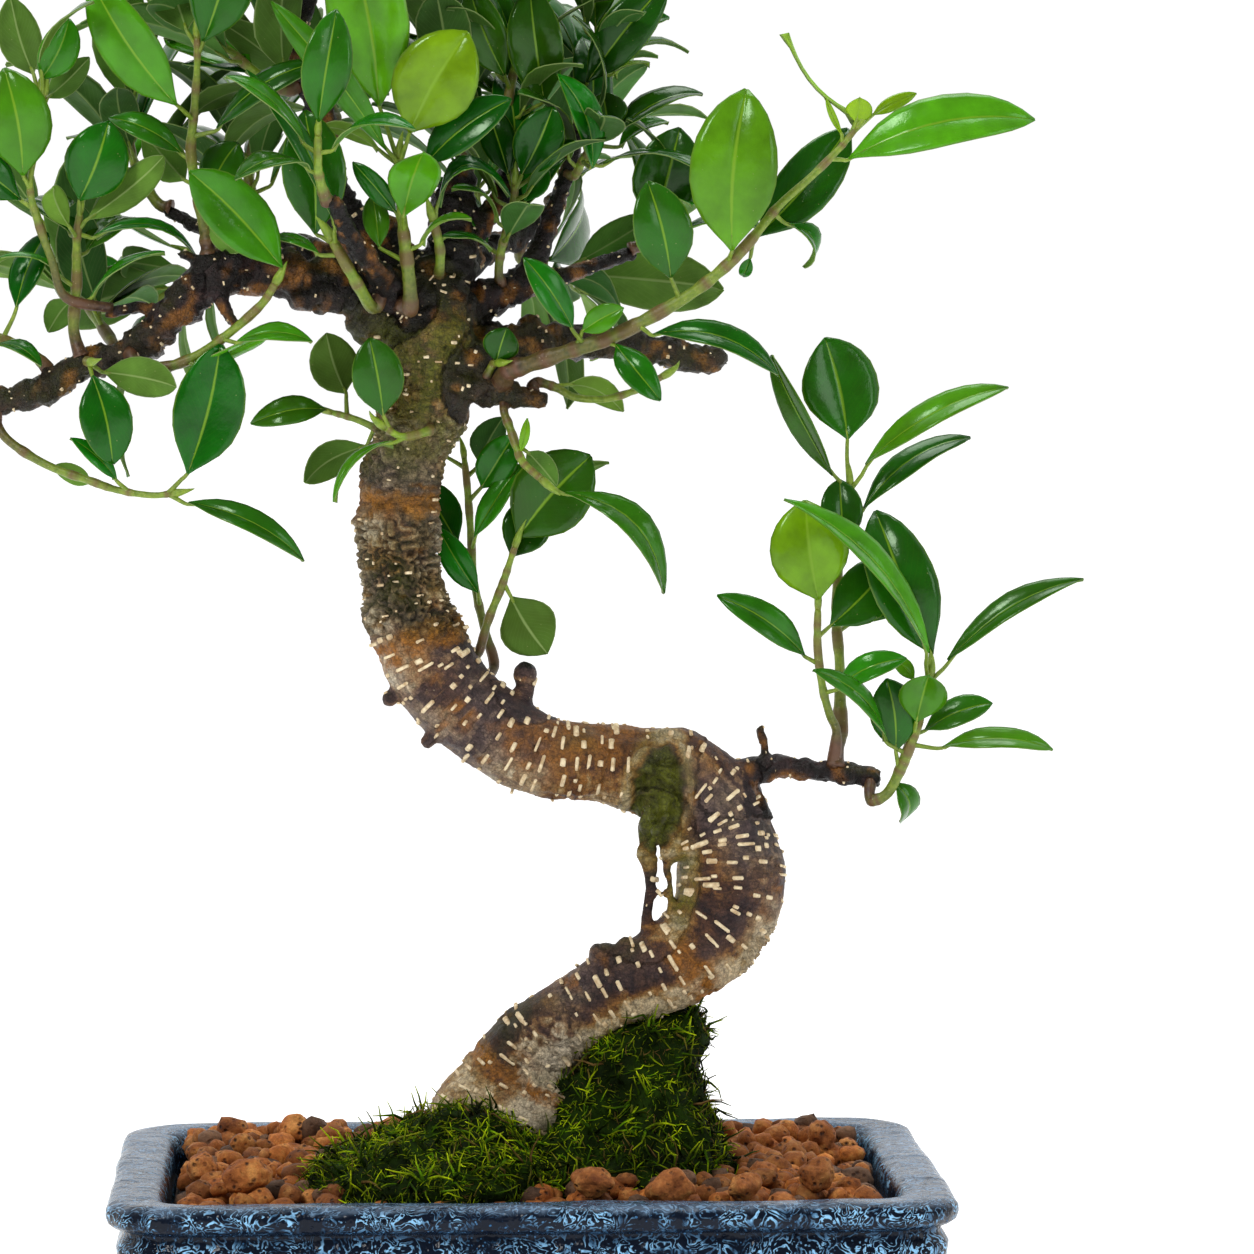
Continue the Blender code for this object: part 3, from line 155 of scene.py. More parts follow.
# ---------------------------------------------------------------- leafy shoots
# A shoot is its stem, as (x, y, z, radius), and its leaves. A leaf is where its blade starts, where it ends,
# its width, the way its upper face looks, how far it arches back, and its age, from 0 for old and dark to 1
# for young and bright.
FRONT, BACK, UP, DOWN = (0, -1, 0.15), (0, 1, 0.2), (0, -0.35, 1), (0, -0.5, -1)
SHOOTS = {
    "shoot_right_tip": (
        [(-9, -12, 314, 3.4), (0, -18, 317, 3), (12, -23, 321, 2.6), (24, -26, 325, 2.4),
         (36, -29, 331, 2.2), (48, -31, 338, 2), (57, -33, 345, 1.9), (65, -34, 353, 1.7),
         (74, -34, 364, 1.5), (84, -34, 373, 1.3), (92, -34, 381, 1.1), (97, -34, 387, 0.9)],
        [((60, -38, 351), (64, -44, 398), 26, FRONT, 2, 0.75),
         ((42, -36, 343), (35, -42, 371), 17.5, FRONT, 2, 0.1),
         ((13, -30, 328), (-1, -38, 349), 11, (0.5, -1, 0.3), 3, 0.2),
         ((16, -28, 327), (28, -34, 334), 8, FRONT, 1, 0.6),
         ((37, -33, 326), (74, -40, 316), 10, (0, -0.8, 0.7), 6, 0.15),
         ((26, -28, 323), (39, -36, 307), 10, (0.3, -1, 0), 3, 0.35),
         ((95, -32, 378), (150, -36, 391), 17, (0, -1, 0.5), 6, 0.6),
         ((68, -28, 355), (96, -22, 388), 17, FRONT, 0, 0),
         ((77, -30, 359), (84, -24, 346), 9, (0.6, -0.6, 0.6), 5, 0.3),
         ((66, -30, 349), (64, -26, 343), 4, FRONT, 1, 0.3),
         ((97, -34, 389), (98, -36, 396), 8, FRONT, 0, 0.95),
         ((98, -34, 391), (78, -38, 416), 2.4, UP, -5, 0.9),
         ((93, -34, 385), (88, -36, 396), 2.2, FRONT, -1, 0.9),
         ((102, -32, 391), (116, -28, 398), 4.5, FRONT, -1, 0.9)]),
    "shoot_low_upright": (
        [(94, 2, 197, 2.6), (96, 3, 204, 2.4), (96, 4, 213, 2.2), (96, 6, 226, 1.8), (95, 7, 240, 1.6),
         (96, 8, 256, 1.4), (98, 8, 270, 1.3), (99, 8, 279, 1.1)],
        [((98.5, 8, 294), (92, 10, 325), 25, (0.25, -1, 0.2), -2, 0.25),
         ((94, 6, 283), (74, 8, 319), 9, (-0.8, -0.6, 0.3), 3, 0.15),
         ((104, 6, 286), (145, -2, 312), 11, (0, -0.7, 0.8), 6, 0.55),
         ((103, 10, 272), (137, 18, 295), 10, (0, -0.6, 0.8), 5, 0.1),
         ((97, 4, 262), (96, 6, 282), 13, FRONT, 1, 0.1),
         ((100, 10, 238), (117, 20, 252), 14, (0, -0.9, 0.3), 3, 0.05)]),
    "shoot_low_green": (
        [(94.5, -1.5, 205, 1.7), (92, -5, 211, 1.5), (89.5, -8, 220, 1.4), (88, -9, 232, 1.3),
         (88, -10, 243, 1.1)],
        [((88, -11, 246), (84, -14, 276), 24, FRONT, 1, 0.8),
         ((84, -9, 229), (58, -16, 248), 10, (-0.4, -0.8, 0.6), 4, 0.4),
         ((94, -10, 219), (114, -16, 229), 9, (0, -0.9, 0.6), 4, 0.4),
         ((92, -8, 238), (112, 0, 258), 17, FRONT, 1, 0)]),
    "shoot_low_end": (
        [(104, -1.5, 188, 1.9), (105.5, -3, 184.5, 1.9), (110, -4, 187, 1.9), (114, -5, 195, 1.8),
         (117, -6, 203, 1.7), (120, -6, 212, 1.4), (122, -7, 222, 1.2)],
        [((121, -12, 230), (78, -26, 278), 12, (0.5, -0.7, 0.7), 7, 0.6),
         ((123, -6, 229), (107, -2, 273), 21, (0.2, -1, 0.1), 4, 0),
         ((128, -7, 227), (167, -12, 254), 9, (0, -0.7, 0.8), 3, 0.15),
         ((109, -9, 203), (84, -18, 229), 9, (0.5, -0.8, 0.7), 4, 0.35),
         ((112, -7, 200), (109, -10, 222), 15, FRONT, 1, 0.1),
         ((118, -10, 209), (121, -18, 223), 15, (0, -0.8, -0.5), -2, 0.55),
         ((121, -5, 206), (141, -8, 215), 10, (0, -0.8, 0.6), 2, 0.1),
         ((126, -8, 201), (159, -14, 202), 9, (0, -0.7, 0.8), 5, 0.45),
         ((112, -3, 190), (115, 2, 177), 11, (0.7, -0.8, 0.3), 4, 0.4),
         ((118, -2, 221), (112, 0, 228), 5, FRONT, 1, 0.7)]),
    "shoot_behind_trunk": (
        [(-9, 20, 224, 1.7), (-12, 20, 236, 1.6), (-15, 20, 250, 1.4), (-16, 20, 264, 1.3),
         (-17, 20, 278, 1.2), (-18, 21, 288, 1)],
        [((-14, 16, 247), (-26, 15, 267), 9, FRONT, 2, 0.3),
         ((-15, 16, 264), (-1, 14, 287), 8, (-0.5, -1, 0.4), 2, 0.4),
         ((-13, 17, 279), (-3, 14, 295), 12, (0.2, -1, 0.3), 2, 0.3),
         ((-20, 20, 262), (-30, 28, 280), 13, FRONT, 1, 0),
         ((-13, 22, 286), (-6, 34, 300), 11, BACK, 2, 0.1),
         ((-23, 24, 288), (-34, 40, 306), 13, BACK, 3, 0.2)]),
    "shoot_behind_low": (
        [(-14, 10, 229, 1.5), (-11, 9.5, 239, 1.4), (-7, 9, 249, 1.3), (-4, 9, 258, 1.1), (-3, 9, 261, 0.9)],
        [((-2, 10, 264), (20, 6, 289), 24, FRONT, 1, 0.1), ((-4, 12, 258), (5, 18, 276), 15, FRONT, 1, 0),
         ((-4, 9, 246), (7, 6, 229), 18, BACK, -3, 0.2),
         ((-1, 13, 268), (25, 22, 288), 10, (0.4, 0.7, 1), 4, 0.3)]),
    "shoot_hanging": (
        [(-7, -11, 303.5, 1.5), (-5, -14, 298, 1.4), (-3, -17, 292, 1.3), (-1.5, -18, 288, 1.2),
         (4, -19, 283, 1.1)],
        [((11, -20, 278.5), (42, -24, 250), 11, (0.3, -0.8, 0.6), 11, 0.35),
         ((0, -17, 291), (9, -13, 281), 8, BACK, 2, 0.2), ((-2, -18, 291), (0, -20, 301), 3, FRONT, 1, 0.8)]),
    "shoot_trunk_left": (
        [(-24, -13.5, 300, 1.8), (-31, -16, 296.5, 1.5), (-37, -17.5, 295.5, 1.3), (-42, -18, 298, 1.1)],
        [((-43, -19, 302), (-47, -22, 325), 15.5, FRONT, 1, 0),
         ((-40, -19, 294), (-59, -28, 278), 5, (-0.5, -0.5, 1), 4, 0.5)]),
    "shoot_trunk_back_left": (
        [(-44, 11, 297, 1.4), (-51, 14, 300, 1.2), (-58, 16, 302, 1)],
        [((-60, 16, 303), (-83, 12, 299), 9, (0, -1, 0.3), 5, 0.3),
         ((-48, 15, 292), (-67, 10, 281), 11, BACK, 4, 0.3),
         ((-54, 18, 308), (-60, 22, 326), 15, BACK, 2, 0.2)]),
    "shoot_under_right": (
        [(3, -3, 311.5, 1.7), (9, -4, 310, 1.5), (15, -5, 307, 1.4), (24, -5, 306.5, 1.3),
         (33, -4, 309, 1.2), (41, -2, 313, 1)],
        [((13, -3, 311), (30, 2, 303), 9, (0.2, 1, 0.5), 3, 0.35)]),
    "shoot_left_upright": (
        [(-95, -15, 351, 2.6), (-96, -15, 358, 2.3), (-98, -16, 368, 2), (-100, -17, 380, 1.7),
         (-99, -18, 392, 1.4), (-98, -19, 405, 1.2), (-98, -19, 414, 1)],
        [((-104, -26, 394), (-129, -34, 430), 17, (-0.4, -1, 0.3), 3, 0.55),
         ((-103, -16, 380), (-124, -18, 391), 9, (0, -0.9, 0.6), 5, 0.2),
         ((-96, -20, 413), (-86, -28, 446), 19, FRONT, 1, 0.3),
         ((-92, -20, 387), (-61, -30, 408), 10, (0, -0.8, 0.7), 5, 0.1),
         ((-102, -12, 372), (-114, -4, 386), 12, BACK, 2, 0.3),
         ((-95, -12, 368), (-86, -4, 384), 13, FRONT, 1, 0.15),
         ((-101, -18, 416), (-112, -14, 440), 16, (-0.3, 1, 0.4), 2, 0.2),
         ((-94, -18, 363), (-86, -20, 350), 11, BACK, 1, 0.3)]),
    "shoot_left_front": (
        [(-119, -24, 319.5, 1.9), (-108, -27, 316.5, 1.7), (-98, -29, 320, 1.6), (-88, -31, 327, 1.5),
         (-79, -33, 335, 1.3), (-75, -34, 341, 1.1)],
        [((-73, -35, 346), (-99, -44, 374), 18, (0.2, -1, 0.1), -3, 0.5),
         ((-98, -30, 317), (-74, -26, 328), 9, DOWN, 1, 0.5),
         ((-86, -34, 324), (-64, -36, 325), 8, (0, -0.7, 0.8), 3, 0.5)]),
    "shoot_left_second": (
        [(-134, -18, 321.5, 2.2), (-135, -18, 330, 2), (-134, -18, 342, 1.7), (-134, -18, 353, 1.4),
         (-133, -18, 362, 1.1)],
        [((-133, -20, 366), (-124, -26, 389), 19, (0.1, -1, 0.2), 2, 0.1),
         ((-131, -19, 360), (-107, -28, 379), 10, (0.4, 1, 0.2), 3, 0.4),
         ((-129, -17, 355), (-96, -14, 349), 6, (0, -0.6, 0.9), 8, 0.3),
         ((-130, -19, 337), (-108, -26, 351), 9, UP, 3, 0.4),
         ((-138, -20, 343), (-155, -30, 349), 5, UP, 3, 0.4),
         ((-136, -14, 336), (-143, -8, 327), 9, BACK, 2, 0.3),
         ((-136, -22, 358), (-141, -30, 370), 8, (-0.4, 1, 0.2), 2, 0.5),
         ((-131, -14, 351), (-118, 4, 362), 12, UP, 3, 0.2),
         ((-136, -14, 356), (-150, 4, 368), 13, UP, 3, 0.1)]),
    "shoot_left_third": (
        [(-137, -22, 337, 1.5), (-141, -25, 348, 1.4), (-145, -28, 360, 1.3), (-147, -30, 370, 1.1),
         (-145, -29, 384, 1), (-143, -28, 396, 0.9)],
        [((-149, -32, 373), (-154, -38, 404), 20, FRONT, 2, 0.5),
         ((-144, -28, 401), (-135, -30, 419), 12, (0.4, -1, 0.1), 2, 0.4),
         ((-146, -26, 403), (-153, -20, 426), 13, BACK, 3, 0.3),
         ((-142, -26, 396), (-130, -22, 408), 8, BACK, 3, 0.3),
         ((-150, -28, 366), (-172, -34, 384), 14, (-0.4, -0.8, 0.6), 4, 0.15),
         ((-144, -30, 405), (-128, -42, 424), 13, UP, 3, 0.4)]),
    "shoot_left_low": (
        [(-158, -16, 299.5, 1.8), (-155, -18, 295, 1.6), (-148, -20, 290, 1.5), (-140, -22, 286, 1.4),
         (-131, -24, 283, 1.3), (-122, -26, 280, 1.2), (-112, -28, 278.5, 1.1), (-106, -29, 279, 1)],
        [((-101, -31, 285), (-91, -34, 323), 21, (0.1, -1, 0), -2, 0.15),
         ((-101, -29, 276), (-66, -34, 261), 9, (0.2, -0.8, 0.7), 6, 0.25),
         ((-122, -28, 283), (-135, -34, 296), 6, (0.6, -0.8, 0.3), 2, 0.3),
         ((-130, -22, 282), (-141, -18, 287), 6, BACK, 1, 0.4)]),
    "shoot_left_leaf": (
        [(-131, -23, 318.5, 1.6), (-130.5, -26, 318, 1.3), (-130, -28, 318, 1.1)],
        [((-129, -31, 314), (-123, -34, 288), 15.5, (0, -1, 0.1), 2, 0.15),
         ((-126, -27, 315), (-103, -26, 311), 12, BACK, 2, 0.3)]),
    "shoot_left_end": (
        [(-143, -16, 316.5, 2), (-150, -17, 322, 1.8), (-160, -18, 326, 1.7), (-172, -18, 331, 1.5),
         (-182, -17, 340, 1.2)],
        [((-152, -19, 334), (-143, -24, 357), 11, (-0.5, -1, 0.2), 2, 0.1),
         ((-160, -20, 322), (-144, -30, 318), 8, UP, 3, 0.3),
         ((-184, -19, 345), (-188, -26, 376), 18, FRONT, 3, 0.3),
         ((-178, -20, 338), (-196, -34, 350), 12, UP, 4, 0.2),
         ((-176, -14, 340), (-180, 4, 362), 14, UP, 3, 0.4),
         ((-168, -16, 334), (-164, -2, 356), 14, FRONT, 2, 0.2),
         ((-172, -20, 326), (-190, -28, 312), 11, UP, 4, 0.1)]),
    "shoot_left_far": (
        [(-174, -10, 303, 2), (-182, -9, 306, 1.6), (-189, -8, 312, 1.2)],
        [((-192, -10, 315), (-207, -18, 330), 13, (-0.3, -0.7, 0.8), 4, 0.2),
         ((-186, -6, 311), (-176, 14, 326), 13, UP, 3, 0.3),
         ((-184, -12, 304), (-196, -30, 292), 12, UP, 4, 0.3),
         ((-180, -4, 304), (-190, 16, 294), 12, UP, 4, 0.1)]),
    "shoot_centre": (
        [(-35, -15, 332, 2.6), (-35, -19, 340, 2.4), (-36, -22, 349, 2.1), (-37, -24, 358, 1.8),
         (-38, -24, 368, 1.5), (-38, -23, 378, 1.2)],
        [((-37, -30, 361), (-31, -42, 379), 16, (0.1, -0.6, -0.7), -5, 0.6),
         ((-35, -26, 386), (-18, -34, 415), 25, (0.1, -1, 0.2), 1, 0.9),
         ((-42, -27, 381), (-76, -38, 423), 10, (-0.5, -0.9, 0.3), 4, 0.5),
         ((-31, -24, 376), (-5, -28, 396), 13, (0, -1, 0.4), 2, 0),
         ((-39, -24, 362), (-52, -28, 377), 7, (-0.3, -1, 0), 2, 0.1),
         ((-32, -24, 353), (-17, -30, 361), 7, UP, 3, 0.6),
         ((-44, -24, 381), (-62, -32, 388), 6, (0, 0.6, 0.6), 3, 0.5),
         ((-44, -22, 352), (-46, -18, 368), 8, FRONT, 1, 0.5),
         ((-44, -22, 394), (-54, -30, 446), 24, (-0.1, -1, 0.2), 2, 0.7)]),
    "shoot_centre_arch": (
        [(-26, -13, 346, 1.8), (-26, -16, 352, 1.6), (-28, -18, 360, 1.3)],
        [((-27, -19, 364), (-5, -20, 368), 9, (0.1, -0.5, 0.9), 12, 0.1),
         ((-26, -17, 355), (-10, -12, 352), 7, UP, 2, 0.3)]),
    "shoot_front_left": (
        [(-46, -17, 334, 2.3), (-50, -24, 340, 2), (-54, -28, 347, 1.8), (-58, -30, 354, 1.4)],
        [((-57, -36, 358), (-82, -46, 404), 8, (0.6, -0.8, 0.4), 5, 0.3),
         ((-63, -30, 356), (-66, -34, 392), 19, FRONT, 1, 0),
         ((-62, -28, 350), (-76, -24, 356), 8, UP, 2, 0.4)]),
    "shoot_front_low": (
        [(-60, -50, 366, 1.9), (-62, -56, 374, 1.5), (-62, -60, 384, 1.1)],
        [((-62, -62, 388), (-56, -66, 420), 15, (0.3, -0.8, 0.5), 2, 0.4),
         ((-58, -60, 380), (-34, -72, 386), 13, UP, 5, 0.2),
         ((-64, -56, 374), (-86, -70, 372), 13, UP, 5, 0.15),
         ((-66, -58, 382), (-88, -60, 402), 12, UP, 3, 0.3)]),
    "shoot_small_leaf": (
        [(-10, -11, 317, 1.3), (-9, -13, 317.5, 1.1)],
        [((-9, -14, 318), (-6, -18, 328), 11, FRONT, 1, 0.1)]),
    "shoot_middle": (
        [(-8, 4, 343, 1.6), (-7, 2, 352, 1.5), (-4, 0, 362, 1.4), (-3, -2, 371, 1.1)],
        [((-1, -5, 374), (8, -12, 394), 15, (0, -1, 0.2), 1, 0),
         ((-5, 0, 374), (-12, 4, 396), 11, FRONT, 2, 0), ((2, -2, 374), (16, -8, 384), 8, UP, 3, 0.2),
         ((-8, 0, 360), (-22, -8, 370), 9, UP, 4, 0.4), ((0, 2, 366), (5, 6, 378), 9, FRONT, 1, 0.1)]),
    "shoot_middle_top": (
        [(-4, 9, 384, 2), (-5, 9, 394, 1.7), (-3, 9, 406, 1.4), (-1, 9, 418, 1.2)],
        [((-6, 4, 404), (-17, -2, 430), 14, (-0.3, -1, 0.2), 2, 0.05),
         ((6, 2, 396), (1, -6, 430), 17, (-0.2, -1, 0.1), 2, 0.1),
         ((0, 6, 421), (10, 2, 450), 15, FRONT, 2, 0.4), ((-4, 12, 417), (-18, 22, 442), 15, UP, 3, 0.2),
         ((-1, 14, 400), (10, 34, 414), 14, UP, 3, 0.2), ((-8, 12, 398), (-26, 26, 408), 13, UP, 4, 0.1)]),
    "shoot_right_inner": (
        [(19, 15, 397, 1.7), (21, 14, 406, 1.4), (23, 13, 416, 1.1)],
        [((19, 6, 402), (43, 2, 432), 15, (0.2, -1, 0.3), 2, 0.05),
         ((24, 10, 412), (44, 12, 423), 9, (0.2, -0.7, 0.8), 2, 0.3),
         ((27, 12, 405), (38, 10, 409), 4, UP, 1, 0.9), ((22, 14, 419), (26, 20, 446), 15, UP, 2, 0.4),
         ((18, 20, 408), (6, 38, 428), 14, UP, 3, 0.2)]),
    "shoot_right_fork": (
        [(15, 10, 373, 1.5), (18, 6, 379, 1.4), (23, 3, 385, 1.2)],
        [((20, -3, 376), (10, -12, 405), 11, (0.6, -1, 0.2), 3, 0.25),
         ((26, 4, 387), (24, 6, 399), 13, FRONT, 0, 0), ((29, 8, 383), (44, 14, 391), 9, UP, 2, 0.5)]),
    "shoot_right_back": (
        [(38, 21, 354, 1.7), (41, 18, 358, 1.4), (44, 16, 364, 1.1)],
        [((40, 12, 359), (47, 4, 388), 21, (0, -1, 0.2), 2, 0.05),
         ((46, 20, 366), (62, 30, 388), 13, UP, 3, 0.1), ((43, 26, 357), (52, 48, 372), 13, UP, 3, 0.2)]),
}
# Shoots that fill the crown where nothing is placed leaf by leaf: stem, number of leaves, leaf length.
FILL_SHOOTS = {
    "shoot_top_left": (
        [(-70, 4, 420, 2), (-78, 0, 432, 1.7), (-84, -4, 446, 1.4), (-86, -6, 458, 1.1)], 7, 44),
    "shoot_top": ([(-57, 8, 448, 1.8), (-52, 8, 460, 1.5), (-48, 6, 472, 1.1)], 7, 42),
    "shoot_top_front": ([(-60, 0, 432, 1.8), (-52, -12, 440, 1.5), (-44, -22, 448, 1.1)], 6, 44),
    "shoot_top_back": ([(-60, 14, 430, 1.8), (-52, 28, 442, 1.5), (-44, 38, 454, 1.1)], 7, 44),
    "shoot_leader_back": ([(-57, 11, 392, 2), (-64, 24, 402, 1.7), (-74, 36, 414, 1.1)], 6, 46),
    "shoot_leader_left": (
        [(-66, 2, 396, 1.9), (-80, 4, 404, 1.6), (-94, 6, 416, 1.3), (-104, 8, 428, 1)], 7, 46),
    "shoot_stub_top": (
        [(-17, 8, 378, 2.2), (-20, 12, 392, 1.9), (-24, 14, 408, 1.5), (-24, 14, 424, 1.1)], 7, 46),
    "shoot_back": ([(13, 79, 370, 2), (17, 84, 382, 1.6), (18, 88, 396, 1.1)], 6, 46),
    "shoot_back_mid": ([(-12, 48, 357, 2), (-14, 54, 372, 1.7), (-12, 58, 388, 1.2)], 7, 46),
    "shoot_back_low": ([(-4, 58, 352, 1.8), (6, 66, 346, 1.5), (18, 72, 344, 1.1)], 5, 44),
    "shoot_back_left": ([(-113, 61, 367, 2), (-120, 62, 380, 1.6), (-122, 62, 394, 1.1)], 6, 46),
    "shoot_back_left_mid": ([(-80, 48, 359, 2), (-84, 54, 374, 1.7), (-82, 58, 390, 1.2)], 7, 46),
    "shoot_back_left_low": ([(-94, 56, 351, 1.8), (-104, 60, 342, 1.5), (-114, 58, 336, 1.1)], 5, 44),
    "shoot_left_back": (
        [(-124, -12, 324, 2), (-130, 4, 332, 1.7), (-138, 20, 344, 1.4), (-144, 32, 358, 1.1)], 6, 44),
}
LEAF_HALF_THICK, PETIOLE_RADIUS, PETIOLE_REACH = 0.5, 0.55, 5.0
LEAF_STATIONS = [(0.0, 0.10), (0.44, 1.0), (1.0, 0.06)]  # share of the length, share of the width
GOLDEN_TURN = math.radians(137.5)
ARRANGE_SEED = 7


# ================================================================ the plan of the tree
def smooth_route(points, steps):
    """A Catmull-Rom curve through tuples of numbers, with this many steps in each span."""
    rows = [points[0], *points, points[-1]]
    route = []
    for a, b, c, d in zip(rows, rows[1:], rows[2:], rows[3:]):
        for k in range(steps):
            t = k / steps
            route.append(tuple(0.5
                               * (2 * q + (r - p) * t + (2 * p - 5 * q + 4 * r - s) * t * t
                                  + (3 * q - p - 3 * r + s) * t**3) for p, q, r, s in zip(a, b, c, d)))
    route.append(tuple(float(x) for x in points[-1]))
    return route


def frames_along(route):
    """One matrix for each (x, y, z, radius): a unit ring carried along the curve without twisting."""
    places = [Vector(p[:3]) for p in route]
    frames, side = [], None
    for k, place in enumerate(places):
        along = (places[min(k + 1, len(places) - 1)] - places[max(k - 1, 0)]).normalized()
        side = Vector((0, 1, 0)).cross(along) if side is None else side - side.dot(along) * along
        side.normalize()
        turn = Matrix((side, along.cross(side), along)).transposed().to_4x4()
        radius = route[k][3]
        frames.append(Matrix.Translation(place) @ turn @ Matrix.Diagonal((radius, radius, radius, 1)))
    return frames


def nearest_on(route, place):
    """The number of the route's point that is nearest to a place."""
    return min(range(len(route)), key=lambda k: (Vector(route[k][:3]) - place).length)


def tree_of(build, *args):
    """A search tree of a shape in millimetres, for finding what touches it."""
    bm = bmesh.new()
    build(bm, *args)
    bmesh.ops.recalc_face_normals(bm, faces=bm.faces)
    found = BVHTree.FromBMesh(bm)
    low = Vector([min(v.co[k] for v in bm.verts) for k in range(3)])
    high = Vector([max(v.co[k] for v in bm.verts) for k in range(3)])
    bm.free()
    return found, low, high


def touches(a, b):
    (tree_a, low_a, high_a), (tree_b, low_b, high_b) = a, b
    apart = any(low_a[k] > high_b[k] or low_b[k] > high_a[k] for k in range(3))
    return not apart and bool(tree_a.overlap(tree_b))


def leaf_frames(stem, leaf, fatter=0.0):
    """Frames of a leaf from inside its stem, along its stalk and blade to its tip."""
    start, end, width, look, arch, _age = leaf
    start, end = Vector(start), Vector(end)
    along = (end - start).normalized()
    normal = Vector(look)
    normal = (normal - normal.dot(along) * along).normalized()
    side = along.cross(normal)
    root = stem_point(stem, start - along * PETIOLE_REACH)
    rows = [(root, PETIOLE_RADIUS, PETIOLE_RADIUS)]
    for share, wide in LEAF_STATIONS:
        place = start.lerp(end, share) + normal * arch * 4 * share * (1 - share)
        rows.append((place, max(width / 2 * wide, PETIOLE_RADIUS * 0.8),
                     LEAF_HALF_THICK if 0 < share < 1 else 0.45))
    frames = []
    for k, (place, wide, thick) in enumerate(rows):
        tangent = (rows[min(k + 1, len(rows) - 1)][0] - rows[max(k - 1, 0)][0]).normalized()
        across = (side - side.dot(tangent) * tangent).normalized()
        turn = Matrix((across, tangent.cross(across), tangent)).transposed().to_4x4()
        scale = Matrix.Diagonal((wide + fatter, thick + fatter, 1, 1))
        frames.append(Matrix.Translation(place) @ turn @ scale)
    return frames


def stem_point(stem, place):
    """The point of the stem nearest to a place, drawn in a little from the stem's two ends."""
    best = None
    for a, b in zip(stem, stem[1:]):
        a, b = Vector(a[:3]), Vector(b[:3])
        share = min(max((place - a).dot(b - a) / (b - a).length_squared, 0.18), 0.82)
        spot = a.lerp(b, share)
        if best is None or (spot - place).length < (best - place).length:
            best = spot
    return best


def build_leaf(bm, stem, leaf, fatter=0.0):
    loft(bm, leaf_frames(stem, leaf, fatter), 4)


def build_stem(bm, stem, fatter=0.0):
    loft(bm, frames_along([(*p[:3], p[3] + fatter) for p in stem]), 6)


def build_wood(bm, fatter=0.0):
    for route, sides, steps in wood_routes():
        loft(bm, frames_along([(*p[:3], p[3] + fatter) for p in smooth_route(route, steps)]), sides)


def wood_routes():
    return [(TRUNK, TRUNK_SIDES, 2), *[(route, 8 if route[0][3] >= 5 else 6, 1) for route in WOOD.values()]]


def alternate_leaves(stem, count, length, chance):
    """Leaves set one after another round a stem, a golden turn apart, each opening out and up."""
    leaves = []
    turn = chance.uniform(0, math.tau)
    for k in range(count):
        share = 0.12 + 0.88 * (k + 0.5) / count
        place = share * (len(stem) - 1)
        low, high = Vector(stem[int(place)][:3]), Vector(stem[min(int(place) + 1, len(stem) - 1)][:3])
        axis = (Vector(stem[-1][:3]) - Vector(stem[0][:3])).normalized()
        root = low.lerp(high, place - int(place))
        side = axis.orthogonal().normalized()
        turn += GOLDEN_TURN
        out = side * math.cos(turn) + axis.cross(side) * math.sin(turn)
        lean = 0.35 + 0.75 * share
        way = (out + axis * lean + Vector((0, 0, 0.15))).normalized()
        size = length * chance.uniform(0.8, 1.12)
        start = root + way * chance.uniform(5, 8)
        look = axis + Vector((0, 0, 0.7)) - out * 0.2
        leaves.append((tuple(start), tuple(start + way * size), size * chance.uniform(0.36, 0.46),
                       tuple(look), chance.uniform(2, 6), chance.choice((0, 0.1, 0.2, 0.3, 0.5, 0.8))))
    return leaves


def nudged(leaf, step):
    """The same leaf swung a little about its base, first in depth and then sideways."""
    start, end, *rest = leaf
    reach = (Vector(end) - Vector(start)).length
    shifts = [(0, 0, 0), (0, 0.15, 0), (0, -0.15, 0), (0, 0.3, 0), (0, -0.3, 0), (0, 0.45, 0),
              (0, -0.45, 0), (0.15, 0.2, 0), (-0.15, -0.2, 0), (0, 0.2, 0.15), (0, -0.2, -0.15),
              (0.2, -0.35, 0), (-0.2, 0.35, 0)]
    if step >= len(shifts):
        return None
    aim = (Vector(end) - Vector(start)) + Vector(shifts[step]) * reach
    return (start, tuple(Vector(start) + aim.normalized() * reach), *rest)


def clear_of_wood(stem, wood):
    """The stem from where its end stands clear of the wood that it grows from."""
    rows = smooth_route(stem, 4)
    for k, row in enumerate(rows[: len(rows) - 3]):
        spot, normal, _face, distance = wood[0].find_nearest(Vector(row[:3]))
        outside = (Vector(row[:3]) - spot).dot(normal) > 0
        if outside and distance > row[3] + GAP:
            return [row, *[p for p in stem if nearest_on(rows, Vector(p[:3])) > k + 1]]
    return stem


def arrange_shoots():
    """Every shoot's stem and the leaves that fit without touching the wood, another stem or another leaf."""
    wood = tree_of(build_wood, GAP)
    chance = random.Random(ARRANGE_SEED)
    plan = {}
    for name, (stem, leaves) in SHOOTS.items():
        plan[name] = (stem, leaves)
    for name, (stem, count, length) in FILL_SHOOTS.items():
        plan[name] = (stem, alternate_leaves(smooth_route(stem, 3), count, length, chance))
    stems = {name: clear_of_wood(stem, wood) for name, (stem, _leaves) in plan.items()}
    taken = [("wood", wood)] + [(name, tree_of(build_stem, stem, GAP)) for name, stem in stems.items()]
    arranged = {}
    for name, (_stem, leaves) in plan.items():
        kept = []
        for leaf in leaves:
            step = 0
            while (trial := nudged(leaf, step)) is not None:
                shape = tree_of(build_leaf, stems[name], trial, GAP)
                if not any(owner != name and touches(shape, other) for owner, other in taken):
                    kept.append(trial)
                    taken.append((name, shape))
                    break
                step += 1
        arranged[name] = (stems[name], kept)
    return arranged


